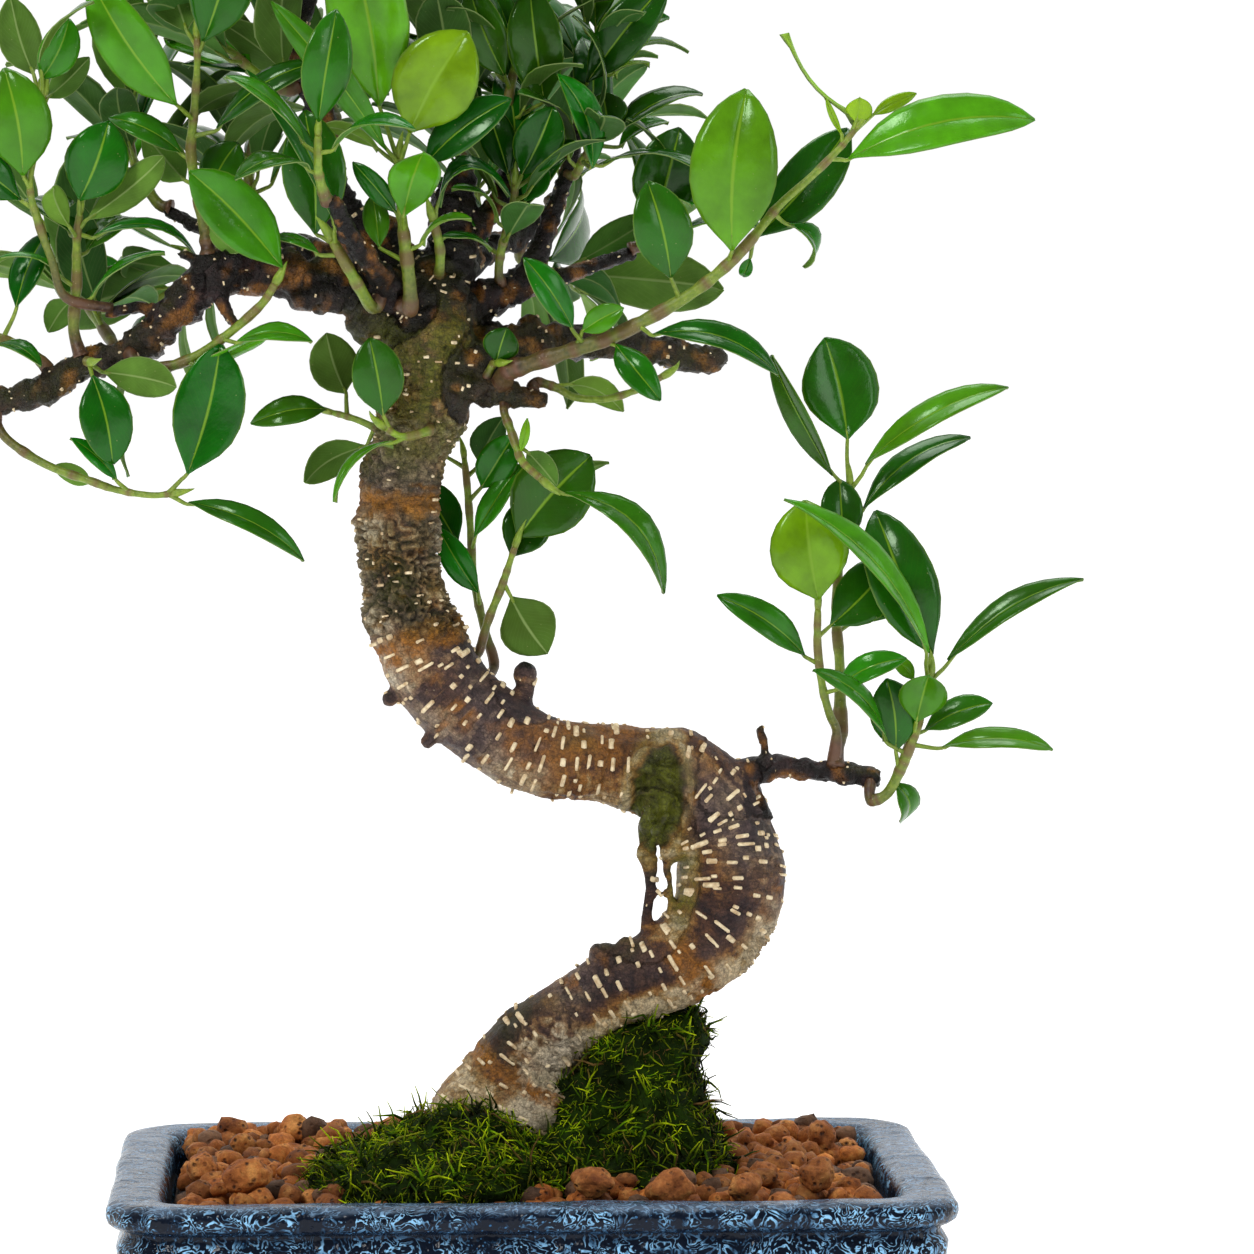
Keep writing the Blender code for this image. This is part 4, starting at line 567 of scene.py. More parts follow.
# ================================================================ shapes
def loft(bm, frames, sides):
    """A closed solid: a round face carried from frame to frame by extrusion. Gives its rings of vertices."""
    ring = bmesh.ops.create_circle(bm, cap_ends=True, segments=sides, radius=1.0, matrix=frames[0])["verts"]
    return carry(bm, ring[0].link_faces[0], frames)


def carry(bm, face, frames):
    """Extrudes a face from frame to frame and gives the vertices of each ring."""
    rings = [list(face.verts)]
    for before, after in zip(frames, frames[1:]):
        grown = bmesh.ops.extrude_face_region(bm, geom=[face, *face.edges])["geom"]
        face = next(g for g in grown if isinstance(g, bmesh.types.BMFace))
        bmesh.ops.transform(bm, matrix=after @ before.inverted(), verts=face.verts)
        rings.append(list(face.verts))
    return rings


def between(table, share):
    """A value read from a list of evenly spaced values at a share of its length."""
    place = min(max(share, 0.0), 1.0) * (len(table) - 1)
    low = min(int(place), len(table) - 2)
    return table[low] + (table[low + 1] - table[low]) * (place - low)


def smooth_step(low, high, value):
    share = min(max((value - low) / (high - low), 0.0), 1.0)
    return share * share * (3 - 2 * share)


def tone_layer(bm):
    return bm.verts.layers.float_color.get("Tone") or bm.verts.layers.float_color.new("Tone")


def paint(bm, verts, tone):
    layer = tone_layer(bm)
    for v in verts:
        v[layer] = (*tone, 1.0)


def pattern_of(bm):
    """A small shape kept for setting down many times: its points, their tones and its faces."""
    layer = tone_layer(bm)
    bm.verts.index_update()
    kept = ([v.co.copy() for v in bm.verts], [tuple(v[layer]) for v in bm.verts],
            [[v.index for v in f.verts] for f in bm.faces])
    bm.free()
    return kept


def set_down(bm, pattern, place, tint=None, slot_number=0):
    """A copy of a pattern, placed by a matrix; tint turns each point's tone into its own."""
    layer = tone_layer(bm)
    points, own, faces = pattern
    verts = [bm.verts.new(place @ p) for p in points]
    for v, tone in zip(verts, own):
        v[layer] = tint(tone) if tint else tone
    for corners in faces:
        bm.faces.new([verts[k] for k in corners]).material_index = slot_number
    return verts


def piece(name, bm, finishes, slot, *stands_for):
    """One finished piece, in the model's frame, riding on the body and standing for its CAD nodes."""
    bmesh.ops.transform(bm, matrix=TO_FRAME, verts=bm.verts)
    for face in bm.faces:
        face.smooth = True
    mesh = bpy.data.meshes.new(name)
    bm.to_mesh(mesh)
    bm.free()
    for finish in finishes:
        mesh.materials.append(finish)
    made = bpy.data.objects.new(name, mesh)
    bpy.context.scene.collection.objects.link(made)
    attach(made, "root")
    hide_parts(*stands_for)
    return made


def skinned(bm, voxel):
    """The same solid with one even skin, its overlapping parts grown together."""
    mesh = bpy.data.meshes.new("rough_form")
    bm.to_mesh(mesh)
    bm.free()
    rough = bpy.data.objects.new("rough_form", mesh)
    bpy.context.scene.collection.objects.link(rough)
    modifier = rough.modifiers.new("skin", "REMESH")
    modifier.mode = "VOXEL"
    modifier.voxel_size = voxel
    graph = bpy.context.evaluated_depsgraph_get()
    skin = bmesh.new()
    skin.from_object(rough, graph)
    tone_layer(skin)
    bpy.data.objects.remove(rough)
    bpy.data.meshes.remove(mesh)
    return skin


# ================================================================ finishes
def node(tree, kind, settings=(), **sockets):
    """A shader node; a socket given as another node's output is linked, and any other value is set."""
    made = tree.nodes.new("ShaderNode" + kind)
    for key, value in dict(settings).items():
        setattr(made, key, value)
    for key, value in sockets.items():
        target = made.inputs[key.replace("_", " ")]
        plug(tree, target, value)
    return made


def plug(tree, target, value):
    if isinstance(value, bpy.types.NodeSocket):
        tree.links.new(value, target)
    else:
        target.default_value = value


def maths(tree, operation, a, b=0.0):
    made = tree.nodes.new("ShaderNodeMath")
    made.operation = operation
    plug(tree, made.inputs[0], a)
    plug(tree, made.inputs[1], b)
    return made.outputs[0]


def ramp(tree, factor, *stops):
    """A colour or grey ramp: (position, colour) stops."""
    made = tree.nodes.new("ShaderNodeValToRGB")
    tree.links.new(factor, made.inputs[0])
    points = made.color_ramp.elements
    while len(points) < len(stops):
        points.new(1.0)
    for point, (place, colour) in zip(points, stops):
        point.position = place
        grey = not isinstance(colour, tuple)
        point.color = (colour, colour, colour, 1) if grey else (*colour, 1)
    return made.outputs[0]


def mix(tree, factor, a, b, blend="MIX"):
    made = tree.nodes.new("ShaderNodeMix")
    made.data_type = "RGBA"
    made.blend_type = blend
    plug(tree, made.inputs[0], factor)
    for target, value in ((made.inputs[6], a), (made.inputs[7], b)):
        plug(tree, target, (*value, 1) if isinstance(value, tuple) else value)
    return made.outputs[2]


def clouds(tree, where, scale, detail=4.0, roughness=0.55, distortion=0.0):
    return node(tree, "TexNoise", Vector=where, Scale=scale, Detail=detail, Roughness=roughness,
                Distortion=distortion).outputs[0]


def cells(tree, where, scale, feature="F1"):
    return node(tree, "TexVoronoi", {"feature": feature}, Vector=where, Scale=scale).outputs["Distance"]


def bump(tree, height, distance, strength=1.0, under=None):
    made = node(tree, "Bump", Height=height, Distance=distance, Strength=strength)
    if under is not None:
        tree.links.new(under, made.inputs["Normal"])
    return made.outputs[0]


def new_finish(name):
    made = bpy.data.materials.new(name)
    made.use_nodes = True
    tree = made.node_tree
    return made, tree, tree.nodes["Principled BSDF"]


def place_on_object(tree):
    return node(tree, "TexCoord").outputs["Object"]


def attribute(tree, name):
    kept = tree.nodes.new("ShaderNodeAttribute")
    kept.attribute_name = name
    return kept


def tones(tree):
    """The three painted tones of a piece."""
    painted = attribute(tree, "Tone")
    return node(tree, "SeparateColor", Color=painted.outputs["Color"]).outputs


def height_on(tree, where):
    return node(tree, "SeparateXYZ", Vector=where).outputs["Z"]


def glaze_finish():
    made, tree, shader = new_finish("blue_black_glaze")
    where = place_on_object(tree)
    height = height_on(tree, where)
    wander = node(tree, "TexNoise", Vector=where, Scale=90.0, Detail=3.0)
    warped = node(tree, "VectorMath", {"operation": "MULTIPLY_ADD"})
    plug(tree, warped.inputs[0], wander.outputs["Color"])
    warped.inputs[1].default_value = (0.006, 0.006, 0.006)
    plug(tree, warped.inputs[2], where)
    curl = maths(tree, "FRACT",
                 maths(tree, "MULTIPLY", clouds(tree, warped.outputs[0], 150.0, 3.0, 0.5, 1.2), 7.5))
    crackle = ramp(tree, maths(tree, "ABSOLUTE", maths(tree, "SUBTRACT", curl, 0.5)), (0.0, 1.0),
                   (0.10, 0.9), (0.19, 0.0))
    runs = node(tree, "VectorMath", {"operation": "MULTIPLY"}, Vector=where)
    runs.inputs[1].default_value = (1.0, 1.0, 0.35)
    ground = clouds(tree, runs.outputs[0], 95.0, 5.0, 0.65)
    groove = ramp(tree, height, (0.0648, 0.0), (0.0655, 0.9), (0.0666, 0.9), (0.0675, 0.0))
    patches = maths(tree, "MULTIPLY", ramp(tree, ground, (0.38, 0.0), (0.52, 1.0)),
                    maths(tree, "SUBTRACT", 1.0, groove))
    dots = ramp(tree, cells(tree, warped.outputs[0], 520.0), (0.12, 1.0), (0.20, 0.0))
    threads = maths(tree, "MAXIMUM", maths(tree, "MULTIPLY", crackle, patches),
                    maths(tree, "MULTIPLY", dots, 0.7))
    dark = mix(tree, clouds(tree, where, 60.0), (0.002, 0.003, 0.006), (0.006, 0.012, 0.028))
    line = mix(tree, patches, (0.05, 0.20, 0.46), (0.30, 0.62, 0.95))
    wall = mix(tree, threads, dark, line)
    mottle = clouds(tree, where, 85.0, 7.0, 0.68, 0.8)
    lip = ramp(tree, mottle, (0.30, (0.008, 0.016, 0.032)), (0.44, (0.030, 0.055, 0.095)),
               (0.58, (0.066, 0.105, 0.165)), (0.74, (0.18, 0.26, 0.37)))
    lip = mix(tree, maths(tree, "MULTIPLY", crackle, 0.6), lip, (0.26, 0.46, 0.72))
    edge = maths(tree, "ADD", height, maths(tree, "MULTIPLY", maths(tree, "SUBTRACT", mottle, 0.5), 0.006))
    on_lip = node(tree, "MapRange", {"interpolation_type": "SMOOTHSTEP"}, Value=edge, From_Min=0.0722,
                  From_Max=0.0742).outputs[0]
    pits = ramp(tree, cells(tree, where, 260.0), (0.05, 0.0), (0.17, 1.0))
    few = ramp(tree, clouds(tree, where, 130.0, 2.0), (0.50, 1.0), (0.58, 0.0))
    pitted = maths(tree, "MAXIMUM", pits, few)
    colour = mix(tree, on_lip, wall, lip)
    colour = mix(tree, pitted, (0.01, 0.015, 0.03), colour)
    plug(tree, shader.inputs["Base Color"], colour)
    plug(tree, shader.inputs["Roughness"], ramp(tree, mottle, (0.3, 0.10), (0.7, 0.26)))
    shader.inputs["Specular IOR Level"].default_value = 0.16
    soft = bump(tree, clouds(tree, where, 75.0, 4.0), 0.0030)
    lines = bump(tree, threads, 0.0002, 1.0, soft)
    plug(tree, shader.inputs["Normal"], bump(tree, pitted, 0.0005, 1.0, lines))
    return made


def bark_finish():
    """Tone: red is rust, green is living green, blue is how dark and wet the bark is, lowered where light is
    painted on the trunk's left side.
    """
    made, tree, shader = new_finish("fig_bark")
    where = place_on_object(tree)
    tone = tones(tree)
    broad = clouds(tree, where, 55.0, 6.0, 0.65)
    fine = clouds(tree, where, 620.0, 5.0, 0.7)
    grown = node(tree, "VectorMath", {"operation": "MULTIPLY"},
                 Vector=attribute(tree, "Grain").outputs["Vector"])
    grown.inputs[1].default_value = (0.17, 0.17, 0.42)
    rings = clouds(tree, grown.outputs[0], 1.0, 6.0, 0.62, 0.6)
    depth = maths(tree, "ADD", tone[2], maths(tree, "MULTIPLY", maths(tree, "SUBTRACT", broad, 0.5), 1.3))
    depth = maths(tree, "ADD", depth, maths(tree, "MULTIPLY", maths(tree, "SUBTRACT", rings, 0.5), 0.9))
    colour = ramp(tree, depth, (0.0, (0.62, 0.49, 0.30)), (0.16, (0.42, 0.27, 0.11)),
                  (0.33, (0.26, 0.115, 0.028)), (0.48, (0.095, 0.040, 0.021)),
                  (0.70, (0.029, 0.013, 0.013)), (1.0, (0.005, 0.0026, 0.0020)))
    cool = ramp(tree, depth, (0.0, (0.62, 0.54, 0.42)), (0.22, (0.29, 0.235, 0.185)),
                (0.48, (0.098, 0.074, 0.074)), (0.72, (0.034, 0.023, 0.027)), (1.0, (0.005, 0.003, 0.003)))
    colour = mix(tree, ramp(tree, clouds(tree, where, 24.0, 3.0), (0.44, 0.0), (0.60, 0.72)), colour, cool)
    rust_spread = maths(tree, "MULTIPLY", tone[0],
                        ramp(tree, clouds(tree, where, 190.0, 5.0), (0.34, 0.25), (0.54, 1.0)))
    colour = mix(tree, rust_spread, colour, mix(tree, rings, (0.07, 0.020, 0.005), (0.60, 0.24, 0.035)))
    green_spread = maths(tree, "MULTIPLY", tone[1],
                         ramp(tree, clouds(tree, where, 150.0, 5.0), (0.34, 0.3), (0.56, 1.0)))
    colour = mix(tree, green_spread, colour, mix(tree, broad, (0.008, 0.022, 0.001), (0.20, 0.21, 0.016)))
    net = ramp(tree, cells(tree, where, 820.0, "DISTANCE_TO_EDGE"), (0.0, 0.5), (0.16, 1.0))
    colour = mix(tree, 0.7, colour, net, "MULTIPLY")
    speckle = ramp(tree, fine, (0.34, 0.45), (0.52, 1.0), (0.70, 1.35))
    colour = mix(tree, 1.0, colour, speckle, "MULTIPLY")
    flecks = ramp(tree, cells(tree, where, 520.0), (0.05, 1.0), (0.13, 0.0))
    fleck_field = maths(tree, "MULTIPLY", flecks,
                        ramp(tree, clouds(tree, where, 120.0), (0.52, 0.0), (0.60, 0.6)))
    colour = mix(tree, fleck_field, colour, (0.55, 0.43, 0.27))
    plug(tree, shader.inputs["Base Color"], colour)
    dull = ramp(tree, fine, (0.3, 0.42), (0.7, 0.72))
    plug(tree, shader.inputs["Roughness"],
         maths(tree, "SUBTRACT", dull, ramp(tree, tone[2], (0.7, 0.0), (0.9, 0.22))))
    shader.inputs["Specular IOR Level"].default_value = 0.28
    scale = bump(tree, rings, 0.0010)
    scale = bump(tree, net, 0.0003, 0.8, scale)
    grain = bump(tree, fine, 0.0005, 1.0, scale)
    plug(tree, shader.inputs["Normal"], grain)
    return made


def mark_finish():
    made, tree, shader = new_finish("bark_breathing_marks")
    where = place_on_object(tree)
    colour = ramp(tree, clouds(tree, where, 480.0, 5.0), (0.35, (0.55, 0.38, 0.20)),
                  (0.62, (0.92, 0.78, 0.52)))
    plug(tree, shader.inputs["Base Color"], colour)
    shader.inputs["Roughness"].default_value = 0.8
    plug(tree, shader.inputs["Normal"], bump(tree, clouds(tree, where, 900.0), 0.0003))
    return made


def blade_finish(name, upper):
    """Tone: red is youth, green is the leaf's own brightness, blue its own warmth."""
    made, tree, shader = new_finish(name)
    surface = node(tree, "UVMap").outputs[0]
    parts = node(tree, "SeparateXYZ", Vector=surface).outputs
    where = place_on_object(tree)
    tone = tones(tree)
    aside = maths(tree, "ABSOLUTE", maths(tree, "SUBTRACT", parts["X"], 0.5))
    if upper:
        ages = ((0.0, (0.0, 0.050, 0.001)), (0.3, (0.004, 0.120, 0.002)), (0.65, (0.060, 0.24, 0.004)),
                (1.0, (0.21, 0.38, 0.004)))
        rib, margin = (0.20, 0.36, 0.02), (0.10, 0.20, 0.015)
    else:
        ages = (0.0, (0.030, 0.105, 0.020)), (1.0, (0.19, 0.33, 0.030))
        rib, margin = (0.26, 0.36, 0.12), (0.22, 0.30, 0.10)
    colour = ramp(tree, tone[0], *ages)
    patch = clouds(tree, where, 95.0, 4.0)
    colour = mix(tree, 1.0, colour, ramp(tree, patch, (0.3, 0.72), (0.7, 1.32)), "MULTIPLY")
    colour = mix(tree, 1.0, colour, ramp(tree, tone[1], (0.0, 0.62), (1.0, 1.5)), "MULTIPLY")
    colour = mix(tree, maths(tree, "MULTIPLY", tone[2], 0.30), colour, (0.14, 0.17, 0.01))
    slant = maths(tree, "SUBTRACT", maths(tree, "MULTIPLY", parts["Y"], 15.0),
                  maths(tree, "MULTIPLY", aside, 11.0))
    vein_wave = maths(tree, "ABSOLUTE", maths(tree, "SUBTRACT", maths(tree, "FRACT", slant), 0.5))
    vein = ramp(tree, vein_wave, (0.0, 1.0), (0.10, 0.0))
    colour = mix(tree, maths(tree, "MULTIPLY", vein, 0.025 if upper else 0.10), colour, rib)
    on_rib = ramp(tree, aside, (0.0, 0.9), (0.012, 0.7), (0.027, 0.0))
    colour = mix(tree, maths(tree, "MULTIPLY", on_rib, 0.85), colour, rib)
    on_margin = ramp(tree, aside, (0.470, 0.0), (0.492, 0.8))
    colour = mix(tree, on_margin, colour, margin)
    spots = ramp(tree, cells(tree, where, 330.0), (0.03, 0.5), (0.07, 0.0))
    colour = mix(tree, spots, colour, (0.30, 0.30, 0.12))
    plug(tree, shader.inputs["Base Color"], colour)
    grain = clouds(tree, where, 260.0, 3.0)
    low, high = (0.13, 0.24) if upper else (0.50, 0.66)
    plug(tree, shader.inputs["Roughness"], ramp(tree, grain, (0.3, low), (0.7, high)))
    shader.inputs["Specular IOR Level"].default_value = 0.34 if upper else 0.12
    shader.inputs["Specular Tint"].default_value = (0.75, 1.0, 0.72, 1)
    plug(tree, shader.inputs["Normal"], bump(tree, grain, 0.0003, 0.5))
    return made


def twig_finish():
    """Tone: red is how green the wood still is, green a ring at a leaf's foot, blue the stem's shade."""
    made, tree, shader = new_finish("twig_bark")
    where = place_on_object(tree)
    tone = tones(tree)
    fine = clouds(tree, where, 700.0, 4.0)
    wood = ramp(tree, fine, (0.3, (0.030, 0.011, 0.005)), (0.7, (0.115, 0.052, 0.022)))
    fresh = ramp(tree, fine, (0.3, (0.12, 0.22, 0.008)), (0.7, (0.24, 0.36, 0.025)))
    colour = mix(tree, tone[0], wood, fresh)
    colour = mix(tree, maths(tree, "MULTIPLY", tone[1], 0.75), colour, (0.13, 0.055, 0.025))
    dots = ramp(tree, cells(tree, where, 750.0), (0.06, 0.8), (0.14, 0.0))
    colour = mix(tree, maths(tree, "MULTIPLY", dots, 0.6), colour, (0.48, 0.40, 0.26))
    colour = mix(tree, 1.0, colour, ramp(tree, tone[2], (0.0, 0.6), (1.0, 1.3)), "MULTIPLY")
    plug(tree, shader.inputs["Base Color"], colour)
    shader.inputs["Roughness"].default_value = 0.45
    plug(tree, shader.inputs["Normal"], bump(tree, fine, 0.0003))
    return made


def clay_finish():
    """Tone: red is how grey the granule is, green its brightness; the sheet under the granules is painted
    grey and darkest as painted shade.
    """
    made, tree, shader = new_finish("fired_clay")
    where = place_on_object(tree)
    tone = tones(tree)
    broad = clouds(tree, where, 170.0, 5.0, 0.65)
    clay = ramp(tree, broad, (0.32, (0.20, 0.050, 0.008)), (0.50, (0.43, 0.132, 0.022)),
                (0.68, (0.68, 0.30, 0.07)))
    stone = ramp(tree, broad, (0.32, (0.075, 0.036, 0.020)), (0.68, (0.25, 0.13, 0.07)))
    colour = mix(tree, tone[0], clay, stone)
    colour = mix(tree, 1.0, colour, ramp(tree, tone[1], (0.0, 0.12), (0.1, 0.45), (1.0, 1.3)), "MULTIPLY")
    pitted = ramp(tree, clouds(tree, where, 240.0, 2.0), (0.44, 1.0), (0.56, 0.0))
    pores = maths(tree, "MAXIMUM", pitted, ramp(tree, cells(tree, where, 430.0), (0.10, 0.0), (0.34, 1.0)))
    grit = clouds(tree, where, 900.0, 4.0, 0.7)
    colour = mix(tree, pores, (0.045, 0.018, 0.010), colour)
    colour = mix(tree, 1.0, colour, ramp(tree, grit, (0.3, 0.7), (0.7, 1.25)), "MULTIPLY")
    plug(tree, shader.inputs["Base Color"], colour)
    shader.inputs["Roughness"].default_value = 0.7
    shader.inputs["Specular IOR Level"].default_value = 0.25
    rough = bump(tree, grit, 0.0004)
    holes = bump(tree, pores, 0.0006, 1.0, rough)
    plug(tree, shader.inputs["Normal"], bump(tree, broad, 0.0006, 1.0, holes))
    return made


def moss_finish():
    """Tone: red is yellow-green youth, green is brightness, lowered as painted shade in the gaps between
    clumps and on the nearly black moss body, blue is how dry and brown the strand is.
    """
    made, tree, shader = new_finish("living_moss")
    where = place_on_object(tree)
    tone = tones(tree)
    colour = ramp(tree, tone[0], (0.0, (0.005, 0.018, 0.001)), (0.36, (0.065, 0.150, 0.001)),
                  (1.0, (0.48, 0.58, 0.006)))
    colour = mix(tree, 1.0, colour, ramp(tree, tone[1], (0.0, 0.14), (1.0, 1.4)), "MULTIPLY")
    # painted shade and light: the moss is darker and brighter in broad patches, for shaded gaps and lit
    # clumps
    colour = mix(tree, 1.0, colour, ramp(tree, clouds(tree, where, 110.0), (0.38, 0.45), (0.62, 1.5)),
                 "MULTIPLY")
    colour = mix(tree, tone[2], colour, (0.17, 0.095, 0.030))
    colour = mix(tree, 1.0, colour, ramp(tree, clouds(tree, where, 300.0), (0.3, 0.55), (0.7, 1.35)),
                 "MULTIPLY")
    plug(tree, shader.inputs["Base Color"], colour)
    shader.inputs["Roughness"].default_value = 0.7
    shader.inputs["Specular IOR Level"].default_value = 0.07
    plug(tree, shader.inputs["Normal"], bump(tree, clouds(tree, where, 800.0), 0.0006))
    return made


def soil_finish():
    made, tree, shader = new_finish("damp_soil")
    where = place_on_object(tree)
    crumbs = clouds(tree, where, 420.0, 7.0, 0.7)
    colour = ramp(tree, crumbs, (0.32, (0.010, 0.006, 0.004)), (0.55, (0.050, 0.028, 0.016)),
                  (0.75, (0.13, 0.075, 0.04)))
    plug(tree, shader.inputs["Base Color"], colour)
    shader.inputs["Roughness"].default_value = 0.9
    plug(tree, shader.inputs["Normal"], bump(tree, crumbs, 0.002))
    return made


def screen_finish():
    made, tree, shader = new_finish("drain_mesh")
    where = place_on_object(tree)
    weave = node(tree, "TexWave", {"wave_type": "BANDS"}, Vector=where, Scale=220.0).outputs["Fac"]
    plug(tree, shader.inputs["Base Color"],
         ramp(tree, weave, (0.3, (0.010, 0.010, 0.010)), (0.7, (0.045, 0.045, 0.042))))
    shader.inputs["Roughness"].default_value = 0.55
    plug(tree, shader.inputs["Normal"], bump(tree, weave, 0.0005))
    return made


def floor_finish():
    made, tree, shader = new_finish("pale_floor")
    where = place_on_object(tree)
    plug(tree, shader.inputs["Base Color"],
         ramp(tree, clouds(tree, where, 3.0), (0.3, (0.90, 0.90, 0.90)), (0.7, (0.93, 0.93, 0.93))))
    shader.inputs["Roughness"].default_value = 0.6
    shader.inputs["Emission Color"].default_value = (1, 1, 1, 1)
    shader.inputs["Emission Strength"].default_value = FLOOR_GLOW
    return made


GLAZE, BARK, MARK, TWIG = glaze_finish(), bark_finish(), mark_finish(), twig_finish()
UPPER, UNDER = blade_finish("leaf_upper_face", True), blade_finish("leaf_under_face", False)
CLAY, MOSS, SOIL, SCREEN = clay_finish(), moss_finish(), soil_finish(), screen_finish()


# ================================================================ the pot and its filling
def rounded_rectangle(length, depth, radius):
    """Points of a rounded rectangle, counter-clockwise, the straight sides divided as well as the corners."""
    corners = [(1, 1, 0), (-1, 1, 90), (-1, -1, 180), (1, -1, 270)]
    points = []
    for sx, sy, start in corners:
        for k in range(CORNER_STEPS + 1):
            a = math.radians(start + 90 * k / CORNER_STEPS)
            points.append(Vector((sx * (length / 2 - radius) + radius * math.cos(a),
                                  sy * (depth / 2 - radius) + radius * math.sin(a), 0)))
    divided = []
    for a, b in zip(points, points[1:] + points[:1]):
        steps = SIDE_STEPS if (b - a).length > 40 else 1
        divided += [a.lerp(b, k / steps) for k in range(steps)]
    return divided


def tray(bm, profile):
    frames = [
        Matrix.Translation((0, 0, z))
        @ Matrix.Diagonal(((POT_LENGTH - 2 * inset) / POT_LENGTH, (POT_DEPTH - 2 * inset) / POT_DEPTH, 1, 1))
        for z, inset in profile]
    outline = rounded_rectangle(POT_LENGTH, POT_DEPTH, CORNER_RADIUS)
    face = bm.faces.new([bm.verts.new(frames[0] @ p) for p in outline])
    carry(bm, face, frames)


def helper(name, bm):
    bmesh.ops.recalc_face_normals(bm, faces=bm.faces)
    mesh = bpy.data.meshes.new(name)
    bm.to_mesh(mesh)
    bm.free()
    made = bpy.data.objects.new(name, mesh)
    bpy.context.scene.collection.objects.link(made)
    return made


def make_pot():
    bm = bmesh.new()
    tray(bm, POT_PROFILE)
    bmesh.ops.recalc_face_normals(bm, faces=bm.faces)
    for v in bm.verts:
        lip = smooth_step(55, 70, v.co.z)
        hand = noise.noise(v.co / 34) * 0.9 + noise.noise(v.co / 11) * 0.35
        v.co += v.normal * hand * (0.25 + 0.55 * lip) - Vector((0, 0, 0.35 * lip))
    pot = helper("pot_form", bm)
    joined = []
    for sx in (-1, 1):
        for sy in (-1, 1):
            foot = bmesh.new()
            x = sx * (POT_LENGTH / 2 - FOOT_INSET - FOOT_LENGTH / 2)
            y = sy * (POT_DEPTH / 2 - FOOT_INSET - FOOT_DEPTH / 2)
            centre = Matrix.Translation((x, y, (FOOT_HEIGHT + FOOT_SINK) / 2))
            block = Matrix.Diagonal((FOOT_LENGTH, FOOT_DEPTH, FOOT_HEIGHT + FOOT_SINK, 1))
            bmesh.ops.create_cube(foot, size=1.0, matrix=centre @ block)
            uprights = [e for e in foot.edges if abs(e.verts[0].co.z - e.verts[1].co.z) > 1]
            bmesh.ops.bevel(foot, geom=uprights, offset=FOOT_ROUND, segments=6, profile=0.5, affect="EDGES",
                            material=-1)
            joined.append(("UNION", helper("foot_form", foot)))
        drain = bmesh.new()
        bmesh.ops.create_cone(drain, cap_ends=True, segments=32, radius1=DRAIN_RADIUS, radius2=DRAIN_RADIUS,
                              depth=FLOOR_TOP - FOOT_HEIGHT + 6,
                              matrix=Matrix.Translation((sx * DRAIN_X, 0, (FOOT_HEIGHT + FLOOR_TOP) / 2)))
        joined.append(("DIFFERENCE", helper("drain_form", drain)))
    for operation, other in joined:
        modifier = pot.modifiers.new(operation, "BOOLEAN")
        modifier.operation = operation
        modifier.object = other
        modifier.solver = "EXACT"
    graph = bpy.context.evaluated_depsgraph_get()
    shaped = bmesh.new()
    shaped.from_object(pot, graph)
    for form in [pot, *(other for _operation, other in joined)]:
        bpy.data.objects.remove(form)
    made = piece("glazed_pot", shaped, [GLAZE], "blue_glaze", "pot")
    made.data.set_sharp_from_angle(angle=math.radians(50))


def bed_height(x, y):
    """The height of the granule bed's top over a point."""
    inset = min(POT_LENGTH / 2 - abs(x), POT_DEPTH / 2 - abs(y))
    for (z_low, in_low), (z_high, in_high) in zip(BED_PROFILE[1:], BED_PROFILE[2:]):
        if inset <= in_high:
            return z_low + (z_high - z_low) * max(inset - in_low, 0) / (in_high - in_low)
    return BED_PROFILE[-1][0]


def in_moss(x, y, room=0.0):
    return any(((x - cx) / (a + room))**2 + ((y - cy) / (b + room))**2 < 1
               for cx, cy, _z, a, b in (MOUND[0], APRON[0], BACK_MOSS[0]))


def granule_form(chance, detail):
    """One lumpy fired granule of about unit radius."""
    bm = bmesh.new()
    tone_layer(bm)
    verts = bmesh.ops.create_icosphere(bm, subdivisions=detail, radius=1.0)["verts"]
    origin = Vector((chance.uniform(-50, 50), chance.uniform(-50, 50), chance.uniform(-50, 50)))
    for v in verts:
        way = v.co.normalized()
        bulge = noise.noise(way * 1.1 + origin) * 0.34 + noise.noise(way * 2.3 + origin) * 0.08
        if detail > 2:
            bulge += noise.noise(way * 5.5 + origin) * 0.03
            bulge -= 0.10 * smooth_step(0.30, 0.46, noise.noise(way * 2.2 - origin))
        v.co = way * (1 + bulge)
    return pattern_of(bm)


def granule_stance(place, size, chance):
    """How one granule lies: turned at random and a little flattened."""
    turn = Matrix.Rotation(chance.uniform(0, math.tau), 4, "Z")
    turn = turn @ Matrix.Rotation(chance.uniform(0, math.pi), 4, "X")
    stretch = Matrix.Diagonal((size * chance.uniform(0.95, 1.25), size * chance.uniform(0.8, 1.05),
                               size * chance.uniform(0.7, 0.95), 1))
    return Matrix.Translation(place) @ turn @ stretch


def granule_tint(chance, greyest=1.0):
    grey = greyest if chance.random() < 0.22 else chance.uniform(0, 0.35)
    bright = chance.uniform(0.15, 1.0)
    return lambda _tone: (grey, bright, 0, 1)


# loose granules: radius, and how deep each has settled
LOOSE_GRANULES = [
    (5.8, 0.5), (6.2, 0.5), (5.2, 0.5), (5.4, 0.5), (5.8, 1.5), (5.4, 1.5), (5.0, 3.5), (5.6, 1.5),
]
BED_STEP, BED_SEED, GRANULE_FORMS = 8.2, 31, 24
BED_MARGIN, BED_SHAKE, TRAY_DROP, UPPER_GAPS = 21, 2.2, 6.0, 0.42
GRANULE_SIZES = (2.8, 3.3, 3.7, 4.2, 4.8)


